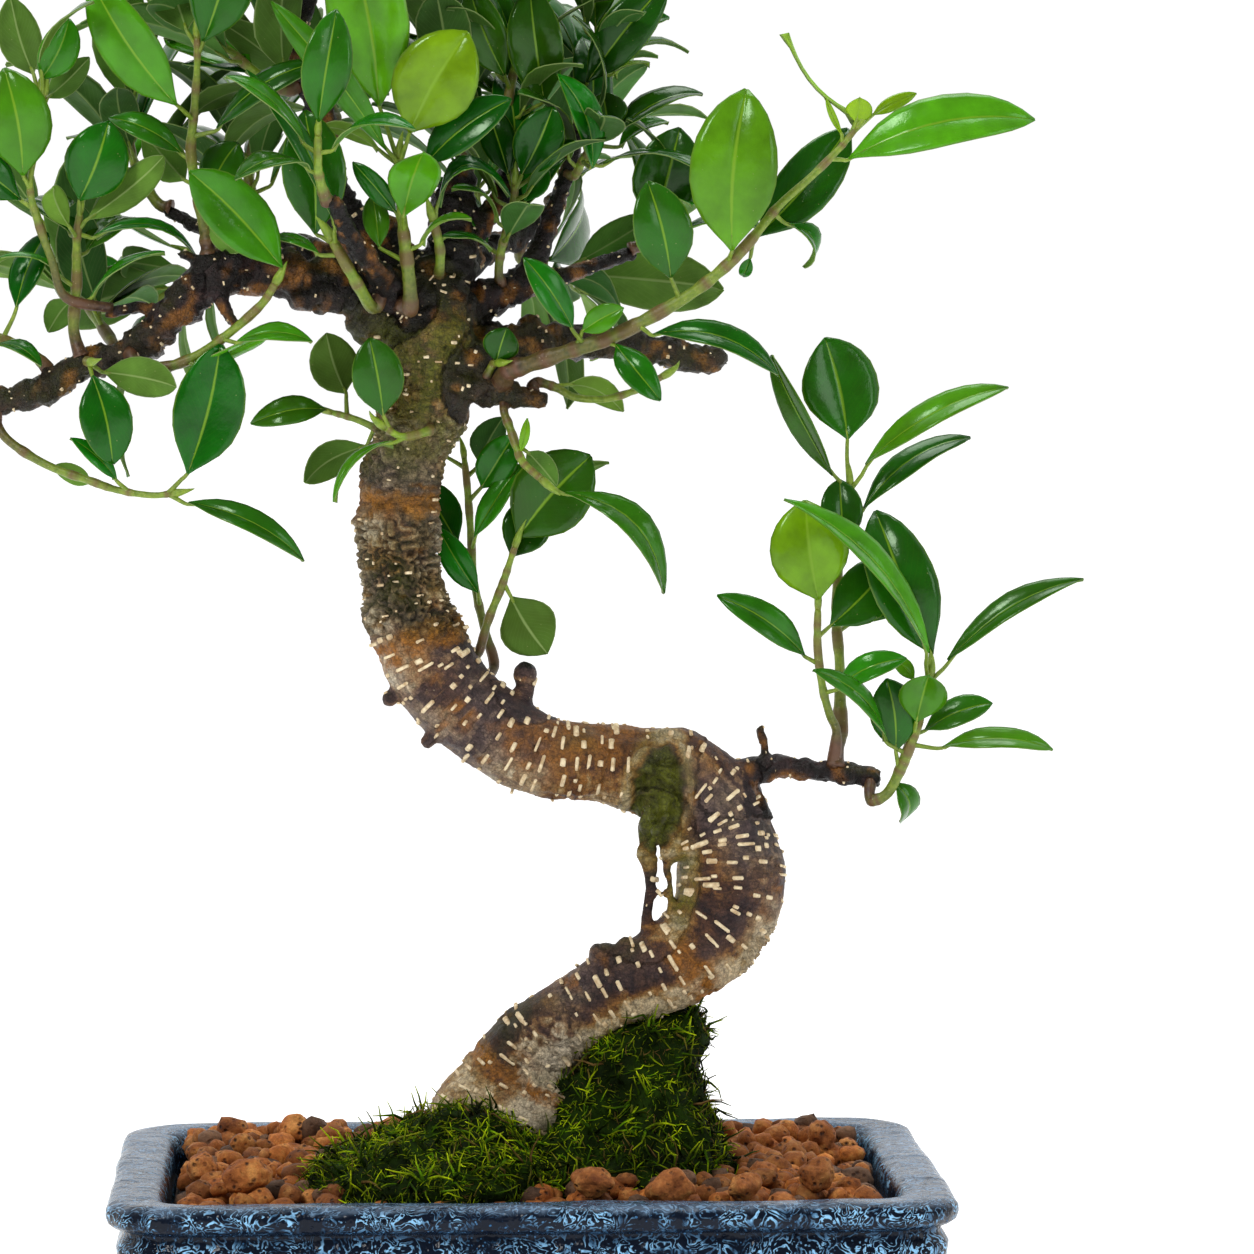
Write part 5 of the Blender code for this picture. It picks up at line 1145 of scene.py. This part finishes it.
def make_granules():
    chance = random.Random(BED_SEED)
    bm = bmesh.new()
    tone_layer(bm)
    foot = [(z, inset + 0.5) for z, inset in BED_PROFILE[:1]]
    tray(bm, foot + [(z - TRAY_DROP, inset + 1.5) for z, inset in BED_PROFILE[1:]])
    bmesh.ops.recalc_face_normals(bm, faces=bm.faces)
    # painted shade: the sheet under the granules is painted grey at the lowest brightness, so the gaps
    # between granules read dark
    paint(bm, bm.verts, (1.0, 0.0, 0))
    forms = [granule_form(chance, 2) for _ in range(GRANULE_FORMS)]
    half_x, half_y = POT_LENGTH / 2 - BED_MARGIN, POT_DEPTH / 2 - BED_MARGIN
    rows = int(2 * half_y / BED_STEP)
    for layer in range(2):
        for row in range(rows + 1):
            for column in range(int(2 * half_x / BED_STEP) + 1):
                x = -half_x + (column + 0.5 * (row % 2) + 0.35 * layer) * BED_STEP
                x += chance.uniform(-BED_SHAKE, BED_SHAKE)
                y = -half_y + (row + 0.5 * layer) * BED_STEP + chance.uniform(-BED_SHAKE, BED_SHAKE)
                size = chance.choice(GRANULE_SIZES)
                left_out = abs(x) > half_x or abs(y) > half_y or in_moss(x, y, -6)
                if left_out or (layer and chance.random() < UPPER_GAPS):
                    continue
                lift = chance.uniform(-2.2, 0.2) + layer * chance.uniform(1.5, 3.5)
                lift += 3 * smooth_step(10, 50, y)
                place = (x, y, bed_height(x, y) - 2 + lift)
                set_down(bm, chance.choice(forms), granule_stance(place, size, chance), granule_tint(chance))
    piece("granules", bm, [CLAY], "clay_granules", "granule_bed")
    for k, (size, settled) in enumerate(LOOSE_GRANULES):
        bm = bmesh.new()
        tone_layer(bm)
        low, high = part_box(f"granule_{k + 1}")
        middle = ((low + high) / 2 - POT_PLACE) / MM - Vector((0, 0, settled))
        set_down(bm, granule_form(chance, 4), granule_stance(middle, size, chance), granule_tint(chance, 0.3))
        piece(f"loose_granule_{k + 1}", bm, [CLAY], "clay_granules", f"granule_{k + 1}")


STRAND_STEPS, STRAND_THICK, STRAND_FORMS = 3, 0.058, 40
MOSS_SKIN, LONG_SHARE, DRY_SHARE = 2.2, 0.07, 0.10


def strand_form(chance):
    """One curly strand of moss, a unit long and upright, tapering to its tip.

    Its red tone is the share of its length.
    """
    bm = bmesh.new()
    tone_layer(bm)
    heading, place = Vector((0, 0, 1)), Vector((0, 0, 0))
    turn = chance.uniform(0, math.tau)
    curl = Vector((math.cos(turn), math.sin(turn), 0))
    route = []
    for k in range(STRAND_STEPS + 1):
        route.append((*place, STRAND_THICK * (1 - 0.75 * k / STRAND_STEPS)))
        heading = (heading + curl * chance.uniform(1.5, 3.4)).normalized()
        curl = (curl
                + Vector((chance.uniform(-1, 1), chance.uniform(-1, 1),
                          chance.uniform(-0.9, 0.6)))).normalized()
        place = place + heading / STRAND_STEPS
    rings = loft(bm, frames_along(route), 3)
    for k, ring in enumerate(rings):
        paint(bm, ring, (k / STRAND_STEPS, 0, 0))
    return pattern_of(bm)


def strand_tint(youth, shade, dry):
    """A strand's tones, yellower towards its tip, its brightness carrying the painted shade and light of its
    patch.
    """
    return lambda tone: (min(0.6 * youth + 0.7 * tone[0]**2, 1), shade, dry, 1)


def make_moss(name, lumps, seed, strands, node_name, tufts=()):
    """A cushion of moss: a lumpy body grown from ellipses and tufts, covered with curly strands."""
    chance = random.Random(seed)
    bm = bmesh.new()
    frames = [Matrix.Translation((x, y, z)) @ Matrix.Diagonal((a, b, 1, 1)) for x, y, z, a, b in lumps]
    loft(bm, frames, 24)
    cap = lumps[-1]
    bmesh.ops.create_icosphere(bm, subdivisions=3, radius=1.0,
                               matrix=Matrix.Translation(cap[:3]) @ Matrix.Diagonal((cap[3], cap[4], 3.5, 1)))
    for x, y, z, r in tufts:
        bmesh.ops.create_icosphere(bm, subdivisions=3, radius=r, matrix=Matrix.Translation((x, y, z)))
    bm = skinned(bm, MOSS_SKIN)
    for v in bm.verts:
        v.co += v.normal * (noise.noise(v.co / 10) * 4.2 + noise.noise(v.co / 4) * 1.5 - 1.4)
    # painted shade: the moss body under the strands is painted nearly black-green so the gaps between strands
    # read dark
    paint(bm, bm.verts, (0.09, 0.22, 0.0))
    bm.normal_update()
    low = lumps[0][2] + 1
    spots = [f for f in bm.faces if f.calc_center_median().z > low and f.normal.z > -0.3]
    weights = [f.calc_area() for f in spots]
    roots = [(f.calc_center_median(), f.normal.copy()) for f in chance.choices(spots, weights, k=strands)]
    forms = [strand_form(chance) for _ in range(STRAND_FORMS)]
    for root, way in roots:
        lean = Vector((chance.uniform(-1, 1), chance.uniform(-1, 1), chance.uniform(-0.5, 0.8))) * 0.55
        lean += noise.noise_vector(root / 6) * 1.6
        # painted shade and light: strands are darker in patches for the gaps between clumps and brighter on
        # the clumps; darker strands are also kept shorter
        shade = min(max(0.42 + 1.3 * noise.noise(root / 4.5) + chance.uniform(-0.25, 0.25), 0.02), 1.0)
        if chance.random() < LONG_SHARE:
            length = chance.uniform(7, 12)
        else:
            length = chance.uniform(2.6, 5.6) * (0.7 + 0.5 * shade)
        shift = Vector((chance.uniform(-1, 1), chance.uniform(-1, 1), 0))
        turn = (way * 0.6 + lean).to_track_quat("Z", "Y").to_matrix().to_4x4()
        place = Matrix.Translation(root + shift - way * 0.6) @ turn @ Matrix.Scale(length, 4)
        youth = chance.betavariate(1.6, 2.4) * (0.55 + 0.6 * shade)
        dry = chance.uniform(0.4, 1) if chance.random() < DRY_SHARE else 0.0
        set_down(bm, chance.choice(forms), place, strand_tint(youth, shade, dry))
    piece(name, bm, [MOSS], "moss", node_name)


# ================================================================ the wood
# the burl and shoulder of the lower bend, the ends of stubs and other swellings: (x, y, z, radius)
KNOTS = [
    (24, -8, 138, 4.2), (18, -8, 132, 3.4), (30, -9, 141, 3), (-49, 1, 270, 2.2), (-41, -2, 216, 2.6),
    (-30, -2, 203, 2.4), (70, -8, 150, 6), (50, -8, 172, 5), (64, -9, 176, 6), (40, -8, 178, 6),
    (45, -8, 171, 4.6), (37, -9, 196, 6), (4, -9, 91, 14), (9, -8, 84, 14), (-4, -12, 82, 15),
    (0, 1, 223, 4.0), (-46, -3, 330, 8), (-40, -7, 338, 7), (-24, -8, 327, 7), (-16, -4, 318, 6),
    (-60, -10, 341, 8), (-93, -16, 344, 7.4), (-139, -17, 313, 5.4), (-113, -18, 325, 5.6),
    (-72, -13, 345, 7), (57, 13, 318, 4.6), (34, 11, 322, 5.4), (3, 11, 345, 4.6), (-22, 3, 352, 8),
    (-58, 5, 368, 6), (73, 2, 194, 4.4), (-12, 1, 86, 19), (-16, -6, 74, 18), (2, -8, 76, 16),
]
# rusty creases round the trunk: (x, z), and how far the rust reaches
RUST_RINGS = [((49, 137.5), 6), ((-37, 275), 6), ((-33, 232), 6), ((-2, 100), 4)]
# thin roots that hang under the burl and join beside it
HANGING_ROOTS = [
    [(43, -6, 170, 1.7), (42.6, -9, 164, 1.3), (43.8, -9, 157, 1.2), (43.4, -8, 151, 1.5), (43, -6, 145, 2)],
    [(36.8, -8.4, 157.5, 1.1), (40, -9.2, 157, 1.0), (43.6, -9, 157.5, 1.1)],
]
# pale scars: place, and the reaches where each is full and where it ends
SCARS = [((8, -15, 107), 9, 17), ((73, -7, 138), 6, 13)]
# the burl's mossy hollow, the height where its slanting axis crosses it, and the tail below it
HOLLOW_X, HOLLOW_Z, HOLLOW_AXIS_Z, TAIL_X, TAIL_Z = 39.5, 186, 187, 47, 160
WOOD_SKIN, KNOT_SEED = 1.02, 41
MARK_SEED = 5
# spacing of the rows of marks along the trunk and the branches, and the marks' half lengths and half widths
TRUNK_ROWS, BRANCH_ROWS = (2.3, 3.9), (4, 8)
MARK_LENGTHS, MARK_WIDTHS = (0.7, 1.0, 1.4, 1.8, 2.3, 3.0), (0.48, 0.58, 0.68, 0.9)


def wood_samples():
    """Points along every length of wood, each with its radius, its distance along and its own frame."""
    samples = []
    for number, (route, _sides, _steps) in enumerate(wood_routes()):
        rows = smooth_route(route, 8)
        along = 0.0
        for k, (row, frame_here) in enumerate(zip(rows, frames_along(rows))):
            if k:
                along += (Vector(row[:3]) - Vector(rows[k - 1][:3])).length
            samples.append((Vector(row[:3]), row[3], along, frame_here.to_3x3().normalized(), number))
    return samples


def bark_relief(place, normal, sample):
    """How far the bark stands out at a point, its three tones, and the point unrolled along the wood."""
    centre, radius, along, axes, number = sample
    around = axes.transposed() @ (place - centre)
    angle = math.atan2(around.y, around.x)
    stout = min(radius / 12, 1.0)
    turn = Vector((math.cos(angle), math.sin(angle), 0))
    shift = number * 17.0
    muscle = noise.noise(place / 19) * 1.5 + noise.noise(place / 8.5) * 0.8
    grain = noise.noise(Vector((turn.x * 2.6, turn.y * 2.6, along / 24 + shift))) * 0.9
    wave = along + 3.0 * noise.noise(Vector((turn.x, turn.y, along / 18 + shift)))
    ring = noise.noise(Vector((wave / 3.6, turn.x * 0.9, turn.y * 0.9 + shift)))
    creases = -0.80 * smooth_step(0.30, 0.50, ring) + 0.25 * smooth_step(0.05, 0.4, -ring)
    rough = noise.noise(place / 2.1) * 0.30
    carved = smooth_step(230, 240, place.z) * (1 - 0.5 * smooth_step(266, 274, place.z))
    carved *= 1 - smooth_step(320, 335, place.z)
    scar = max(1 - smooth_step(full, ends, (place - Vector(spot)).length) for spot, full, ends in SCARS)
    carved = max(carved, scar)
    swirl = noise.noise(place / 11 + 1.1
                        * Vector((noise.noise(place / 7), noise.noise(place / 7 + TREE_MIDDLE), 0)))
    folds = math.sin(swirl * 26) * (1.25 if number == 0 else 0)
    relief = stout * (muscle + grain + creases * (1 - 0.7 * carved) + folds * carved)
    relief += rough * (0.4 + 0.6 * stout)
    rust = 0.7 * smooth_step(0.26, 0.46, ring) * smooth_step(-0.15, 0.3, noise.noise(place / 16))
    dark = 0.51 - 0.08 * carved - 0.22 * scar + 0.18 * noise.noise(place / 14)
    dark -= 0.20 * smooth_step(0.1, -0.7, normal.z)
    dark -= 0.20 * folds * carved
    green = max(normal.z, 0) * 0.35 * smooth_step(0.0, 0.3, noise.noise(place / 20))
    if number == 0:
        for (x, z), reach in RUST_RINGS:
            gap = math.hypot(centre.x - x, centre.z - z)
            gap += 2.5 * noise.noise(place / 5)
            rust = max(rust, 1.0 - smooth_step(reach * 0.35, reach, gap))
            relief -= 0.9 * (1.0 - smooth_step(0.6, 2.6, abs(gap)))
        ochre = math.hypot((place.x - 12) / 24, (place.z - 206) / 13) + 0.5 * noise.noise(place / 6)
        rust = max(rust, 0.75 * (1 - smooth_step(0.5, 1.1, ochre)))
        under = smooth_step(0.25, -0.75, (place.z - centre.z) / radius + 0.5 * noise.noise(place / 8))
        dark -= 0.50 * under * (1 - smooth_step(126, 140, place.z))
        dark -= 0.45 * (1 - smooth_step(90, 116, place.z + 16 * noise.noise(place / 12)))
        # painted light: the trunk's left-facing side is made lighter from about 206 to 262 mm up
        painted_left_light = 0.16 * smooth_step(-0.1, -0.8, normal.x) * smooth_step(206, 226, place.z)
        dark -= painted_left_light * (1 - smooth_step(250, 262, place.z))
        dark -= 0.36 * smooth_step(0.1, 0.8, normal.x) * (1 - smooth_step(150, 176, place.z))
    if normal.y < 0 and place.y < 0:
        aside = place.x - HOLLOW_X - (place.z - HOLLOW_AXIS_Z) * 0.10
        hollow = math.hypot(aside / 9, (place.z - HOLLOW_Z) / 17.5) + 0.12 * noise.noise(place / 3)
        rim = math.exp(-((hollow - 1.05) / 0.22)**2)
        inside = 1 - smooth_step(0.72, 1.0, hollow)
        facing = smooth_step(0.0, -0.6, normal.y)
        relief += facing * (1.7 * rim - inside * (3.4 - 9 * abs(noise.noise(place / 5.2))))
        green = max(green, inside, 0.45 * rim)
        dark += 0.42 * inside - 0.34 * rim
        rust *= 1 - inside
        aside = place.x - TAIL_X - (place.z - TAIL_Z) * 0.10
        tail = 1 - smooth_step(0.5, 1.1, math.hypot(aside / 6, (place.z - TAIL_Z) / 18))
        green = max(green, 0.7 * tail)
        dark -= 0.34 * tail
    crest = smooth_step(274, 296, place.z) * (1 - smooth_step(328, 344, place.z)) * smooth_step(6, 10, radius)
    green = max(green, 0.8 * crest, 0.35 * carved * (1 - scar), (1 - smooth_step(80, 96, place.z)) * 0.8)
    dark -= 0.10 * crest
    wet = smooth_step(320, 342, place.z)
    if number and (place.z > 225 or place.x > 66):
        wet = max(wet, 0.85)
    if number and (place.z > 300 or place.x > 70):
        knobbly = noise.noise(Vector((along / 2.6, turn.x * 1.4, turn.y * 1.4 + shift)))
        relief += (1.7 * knobbly + 1.2 * noise.noise(place / 3.4)) * min(radius / 5, 1)
    dark = max(dark, wet * (1.04 + 0.3 * noise.noise(place / 6)))
    rust = max(rust, wet * 0.8 * smooth_step(0.12, 0.45, noise.noise(place / 7 + TREE_MIDDLE)))
    unrolled = (turn.x * radius, turn.y * radius, along + 400 * number)
    return relief, (min(rust, 1.0), min(green, 1.0), min(max(dark, 0.0), 1.0)), unrolled


def make_wood():
    bm = bmesh.new()
    for number, (route, sides, _steps) in enumerate(wood_routes()):
        rows = smooth_route(route, 4)
        if number == 0:
            rows = [(x, y, z, r - 0.4) for x, y, z, r in rows]
        loft(bm, frames_along(rows), 20 if sides > 6 else 12)
    for x, y, z, r in KNOTS:
        bmesh.ops.create_icosphere(bm, subdivisions=3, radius=r, matrix=Matrix.Translation((x, y, z)))
    chance = random.Random(KNOT_SEED)
    for centre, radius, _along, axes, number in wood_samples()[::5]:
        if number and centre.z > 296:
            aside = axes @ Vector((chance.uniform(-1, 1), chance.uniform(-1, 1), 0)) * radius * 0.7
            bmesh.ops.create_icosphere(bm, subdivisions=2, radius=radius * chance.uniform(0.55, 0.95),
                                       matrix=Matrix.Translation(centre + aside))
    for route in HANGING_ROOTS:
        loft(bm, frames_along(smooth_route(route, 3)), 8)
    bm = skinned(bm, WOOD_SKIN)
    bmesh.ops.smooth_vert(bm, verts=bm.verts, factor=0.5, use_axis_x=True, use_axis_y=True, use_axis_z=True)
    bm.normal_update()
    samples = wood_samples()
    finder = KDTree(len(samples))
    for k, sample in enumerate(samples):
        finder.insert(sample[0], k)
    finder.balance()
    layer = tone_layer(bm)
    grain = bm.verts.layers.float_vector.new("Grain")
    moved = []
    for v in bm.verts:
        best = min(finder.find_n(v.co, 4), key=lambda hit: hit[2] - samples[hit[1]][1])
        relief, tone, unrolled = bark_relief(v.co, v.normal, samples[best[1]])
        moved.append((v, v.normal * relief, tone, unrolled))
    for v, shift, tone, unrolled in moved:
        v.co += shift
        v[layer] = (*tone, 1.0)
        v[grain] = unrolled
    bm.normal_update()
    add_marks(bm, samples)
    piece("trunk_and_branches", bm, [BARK, MARK], "bark", "trunk")


def add_marks(bm, samples):
    """Raised pale breathing marks, in broken rows across the bark."""
    chance = random.Random(MARK_SEED)
    skin = BVHTree.FromBMesh(bm)
    form = bmesh.new()
    tone_layer(form)
    bmesh.ops.create_uvsphere(form, u_segments=6, v_segments=3, radius=1.0,
                              matrix=Matrix.Rotation(math.pi / 2, 4, "Y"))
    for v in form.verts:
        if 0.3 < abs(v.co.x) < 0.9:
            v.co = Vector((math.copysign(0.84, v.co.x), v.co.y * 1.12, v.co.z * 1.12))
    mark = pattern_of(form)
    due = {}
    for centre, radius, along, axes, number in samples:
        if along < due.get(number, 0) or centre.z < 76:
            continue
        due[number] = along + chance.uniform(*(TRUNK_ROWS if number == 0 else BRANCH_ROWS))
        stout = number == 0 and centre.z < 240
        share = 0.68 if stout else 0.3
        angle = chance.uniform(0, math.tau)
        last = angle + math.tau
        while angle < last:
            long = chance.choice(MARK_LENGTHS) * min(radius / 11, 1.0) * (1 if stout else 0.5)
            angle += (2 * long + chance.uniform(1.2, 4.0)) / radius
            if chance.random() > share:
                continue
            out = axes @ Vector((math.cos(angle), math.sin(angle), 0))
            spot = centre + axes.col[2] * chance.uniform(-1.1, 1.1)
            hit, normal, _face, _gap = skin.ray_cast(spot + out * (radius + 9), -out, 14)
            in_hollow = hit and hit.y < 0 and math.hypot((hit.x - HOLLOW_X) / 10, (hit.z - HOLLOW_Z) / 18) < 1
            if hit is None or in_hollow:
                continue
            up = normal.normalized()
            across = up.cross(axes.col[2]).normalized()
            turn = Matrix((across, up.cross(across), up)).transposed().to_4x4()
            wide = chance.choice(MARK_WIDTHS) * (1 if stout else 0.65)
            size = Matrix.Diagonal((long, wide, chance.uniform(0.42, 0.58), 1))
            set_down(bm, mark, Matrix.Translation(hit) @ turn @ size, None, 1)


# ================================================================ the shoots
BLADE_ROWS = [
    (0.0, 0.04), (0.05, 0.18), (0.11, 0.38), (0.20, 0.66), (0.31, 0.88), (0.43, 0.99), (0.55, 1.0),
    (0.67, 0.93), (0.78, 0.78), (0.87, 0.58), (0.94, 0.34), (1.0, 0.05),
]
BLADE_ACROSS = [-1.0, -0.76, -0.42, -0.10, 0.0, 0.10, 0.42, 0.76, 1.0]
BLADE_THICK, RIB_DEPTH = 0.32, 0.28
STALK_RADIUS, STEM_SHARE, WOOD_REACH = 0.72, 0.86, 16


def add_blade(bm, stem, leaf, chance):
    """A leaf blade with its folded midrib, waved margin, arch and turned-down tip, and its stalk."""
    start, end, width, look, arch, age = leaf
    start, end = Vector(start), Vector(end)
    along = (end - start).normalized()
    normal = Vector(look)
    normal = (normal - normal.dot(along) * along).normalized()
    side = along.cross(normal)
    length = (end - start).length
    fold = chance.uniform(0.10, 0.26)
    droop = chance.uniform(0.10, 0.30)
    tip = chance.uniform(0.02, 0.10) * length
    sway = chance.uniform(-0.05, 0.05) * length
    twist = chance.uniform(-0.25, 0.25)
    phase = chance.uniform(0, math.tau)
    ripple = chance.uniform(0.15, 0.55) * min(width / 16, 1)

    def spine(share):
        bend = arch * 4 * share * (1 - share) - tip * share**4 + tip * 0.2
        return start.lerp(end, share) + normal * bend + side * sway * math.sin(math.pi * share)

    uv = bm.loops.layers.uv.verify()
    columns, rows = len(BLADE_ACROSS) - 1, len(BLADE_ROWS) - 1
    grid = bmesh.ops.create_grid(bm, x_segments=columns, y_segments=rows, size=1.0)["verts"]
    faces = list({f for v in grid for f in v.link_faces})
    for v in grid:
        s = between(BLADE_ACROSS, (v.co.x + 1) / 2)
        row = (v.co.y + 1) / 2
        share = between([r[0] for r in BLADE_ROWS], row)
        half = width / 2 * between([r[1] for r in BLADE_ROWS], row)
        for loop in v.link_loops:
            loop[uv].uv = ((s + 1) / 2, share)
        ahead = (spine(min(share + 0.02, 1)) - spine(max(share - 0.02, 0))).normalized()
        angle = twist * (share - 0.5)
        across = side * math.cos(angle) + normal * math.sin(angle)
        across = (across - across.dot(ahead) * ahead).normalized()
        up = across.cross(ahead)
        if up.dot(normal) < 0:
            up = -up
        lift = half * (fold * abs(s) * 1.6 - droop * s * s) - RIB_DEPTH * max(1 - abs(s) * 7, 0)
        lift += ripple * s * s * math.sin(phase + share * 11 + (2.1 if s > 0 else 0))
        v.co = spine(share) + across * s * half + up * lift
    bmesh.ops.recalc_face_normals(bm, faces=faces)
    if sum((f.normal.dot(normal) * f.calc_area() for f in faces)) < 0:
        bmesh.ops.reverse_faces(bm, faces=faces)
    grown = bmesh.ops.solidify(bm, geom=faces, thickness=BLADE_THICK)["geom"]
    points = [*grid, *(g for g in grown if isinstance(g, bmesh.types.BMVert))]
    shell = list({f for v in points for f in v.link_faces})
    bmesh.ops.recalc_face_normals(bm, faces=shell)
    for face in shell:
        face.material_index = 1 if face.normal.dot(normal) >= 0 else 2
    blade_verts = {v for f in shell for v in f.verts}
    youth = min(max(age + chance.uniform(-0.06, 0.06), 0), 1)
    paint(bm, blade_verts, (youth, chance.uniform(0.15, 0.95), chance.betavariate(1.2, 4)))

    root = stem_point(stem, start - along * PETIOLE_REACH)
    way = (start - root).normalized()
    rib_end = spine(0.10)
    stalk = [(*root, STALK_RADIUS * 1.25), (*root.lerp(start, 0.25), STALK_RADIUS * 1.05),
             (*(root.lerp(start, 0.7) - normal * 0.06 * (start - root).length), STALK_RADIUS * 0.9),
             (*(start - normal * 0.3), STALK_RADIUS * 0.8), (*(rib_end - normal * 0.5), STALK_RADIUS * 0.55)]
    if (start - root).length > 1.5 and way.dot(along) > -0.3:
        rings = loft(bm, frames_along(smooth_route(stalk, 2)), 7)
        paint(bm, [v for ring in rings for v in ring], (0.75 + 0.25 * youth, 0, chance.uniform(0.4, 0.9)))
    return root


def add_stem(bm, stem, roots, wood, chance, green):
    """A twig, swollen where each leaf grows from it and greener towards its tip, rooted in the wood."""
    first = Vector(stem[0][:3])
    spot, normal, _face, distance = wood[0].find_nearest(first)
    if distance < WOOD_REACH and (first - spot).dot(normal) > 0:
        stem = [(*(spot - normal * 1.5), stem[0][3] * 1.3), *stem]
    rows = smooth_route(stem, 6)
    scars = [chance.uniform(0, len(rows)) for _ in range(len(rows) // 5)]
    shaped = []
    for k, row in enumerate(rows):
        place = Vector(row[:3])
        near = min([(place - root).length for root in roots] + [abs(k - s) * 0.9 for s in scars] + [9])
        swell = 1 + 0.22 * (1 - smooth_step(0.3, 1.8, near))
        shaped.append((*place, row[3] * swell * STEM_SHARE))
    rings = loft(bm, frames_along(shaped), 10)
    for k, ring in enumerate(rings):
        share = k / (len(rings) - 1)
        near = min([(Vector(shaped[k][:3]) - root).length for root in roots]
                   + [abs(k - s) * 0.9 for s in scars] + [9])
        fresh = min(max(green * smooth_step(0.05, 0.6, share) + chance.uniform(-0.06, 0.06), 0), 1)
        paint(bm, ring, (fresh, 1 - smooth_step(0.2, 1.2, near), 0.5 + 0.3 * share))
    add_bud(bm, shaped, chance)


def add_bud(bm, rows, chance):
    """The pointed sheath at a twig's tip."""
    end, before = Vector(rows[-1][:3]), Vector(rows[-3][:3])
    way = (end - before).normalized()
    lean = Vector((chance.uniform(-0.2, 0.2), chance.uniform(-0.2, 0.2), 0.1))
    thick = rows[-1][3]
    length = chance.uniform(6, 10)
    swollen, narrowed = end + way * length * 0.3, end + (way + lean * 0.4) * length * 0.7
    route = [(*end, thick), (*swollen, thick * 1.25), (*narrowed, thick * 0.7),
             (*(end + (way + lean) * length), 0.12)]
    rings = loft(bm, frames_along(smooth_route(route, 2)), 8)
    for k, ring in enumerate(rings):
        paint(bm, ring, (0.9 - 0.3 * (k == 0), 0.25 if k < 2 else 0.0, 0.8))


SHOOT_SEED = 23
# small leaves are added to stems behind the middle plane whose tips stand above the crown's base
SMALL_LEAVES, SMALL_LEAF_LENGTH, CROWN_BASE = 6, 33, 330


def make_shoots():
    wood = tree_of(build_wood)
    for number, (name, (stem, leaves)) in enumerate(arrange_shoots().items()):
        chance = random.Random(SHOOT_SEED + number)
        bm = bmesh.new()
        tone_layer(bm)
        bm.loops.layers.uv.new("UVMap")
        if sum(row[1] for row in stem) > 0 and stem[-1][2] > CROWN_BASE:
            small = alternate_leaves(smooth_route(stem, 3), SMALL_LEAVES, SMALL_LEAF_LENGTH, chance)
            leaves = leaves + [(*leaf[:5], chance.uniform(0, 0.2)) for leaf in small]
        roots = [add_blade(bm, stem, leaf, chance) for leaf in leaves]
        green = 0.95 if len(stem) < 5 else 0.8
        add_stem(bm, stem, roots, wood, chance, green)
        piece("leafy_" + name, bm, [TWIG, UPPER, UNDER], "leaf", name)


# ================================================================ the room
def make_room():
    bm = bmesh.new()
    level = Matrix.Translation((0, 0, CAD_BOX[0].z))
    bmesh.ops.create_grid(bm, x_segments=1, y_segments=1, size=FLOOR_HALF, matrix=level)
    mesh = bpy.data.meshes.new("floor")
    bm.to_mesh(mesh)
    bm.free()
    mesh.materials.append(floor_finish())
    floor = bpy.data.objects.new("floor", mesh)
    bpy.context.scene.collection.objects.link(floor)
    world = bpy.data.worlds.new("studio")
    bpy.context.scene.world = world
    world.use_nodes = True
    tree = world.node_tree
    background = tree.nodes["Background"]
    background.inputs["Color"].default_value = (*WALL_COLOUR, 1)
    way = node(tree, "SeparateXYZ", Vector=node(tree, "TexCoord").outputs["Generated"]).outputs["Y"]
    lit = node(tree, "MapRange", {"interpolation_type": "SMOOTHSTEP"}, Value=way, From_Min=-0.5, From_Max=0.6,
               To_Min=ROOM_STRENGTH, To_Max=WALL_STRENGTH)
    plug(tree, background.inputs["Strength"], lit.outputs[0])
    for name, place, size, power, colour in LIGHTS:
        lamp = bpy.data.lights.new(name, "AREA")
        lamp.size, lamp.energy, lamp.color = size, power, colour
        made = bpy.data.objects.new(name, lamp)
        made.location = POT_PLACE + Vector(place)
        made.rotation_euler = (TREE_MIDDLE - Vector(place)).to_track_quat("-Z", "Y").to_euler()
        bpy.context.scene.collection.objects.link(made)
    bpy.context.scene.view_settings.view_transform = "Standard"
    camera = bpy.data.cameras.new("camera")
    camera.lens, camera.sensor_width = LENS_MM, SENSOR_MM
    camera.clip_start = 0.05
    viewer = bpy.data.objects.new("camera", camera)
    viewer.location = POT_PLACE + EYE
    viewer.rotation_euler = SIGHT_LINE.to_track_quat("-Z", "Y").to_euler()
    bpy.context.scene.collection.objects.link(viewer)
    bpy.context.scene.camera = viewer


def dress_kept_nodes():
    for name, finish in (("soil", SOIL), ("drain_screen_left", SCREEN), ("drain_screen_right", SCREEN)):
        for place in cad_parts[name].material_slots:
            place.material = finish


make_room()
dress_kept_nodes()
make_pot()
make_granules()
make_moss("mossy_mound", MOUND, seed=11, strands=9300, node_name="moss_mound", tufts=TUFTS)
make_moss("mossy_apron", APRON, seed=12, strands=8600, node_name="moss_apron")
make_moss("mossy_back", BACK_MOSS, seed=13, strands=2400, node_name="moss_back")
make_wood()
make_shoots()
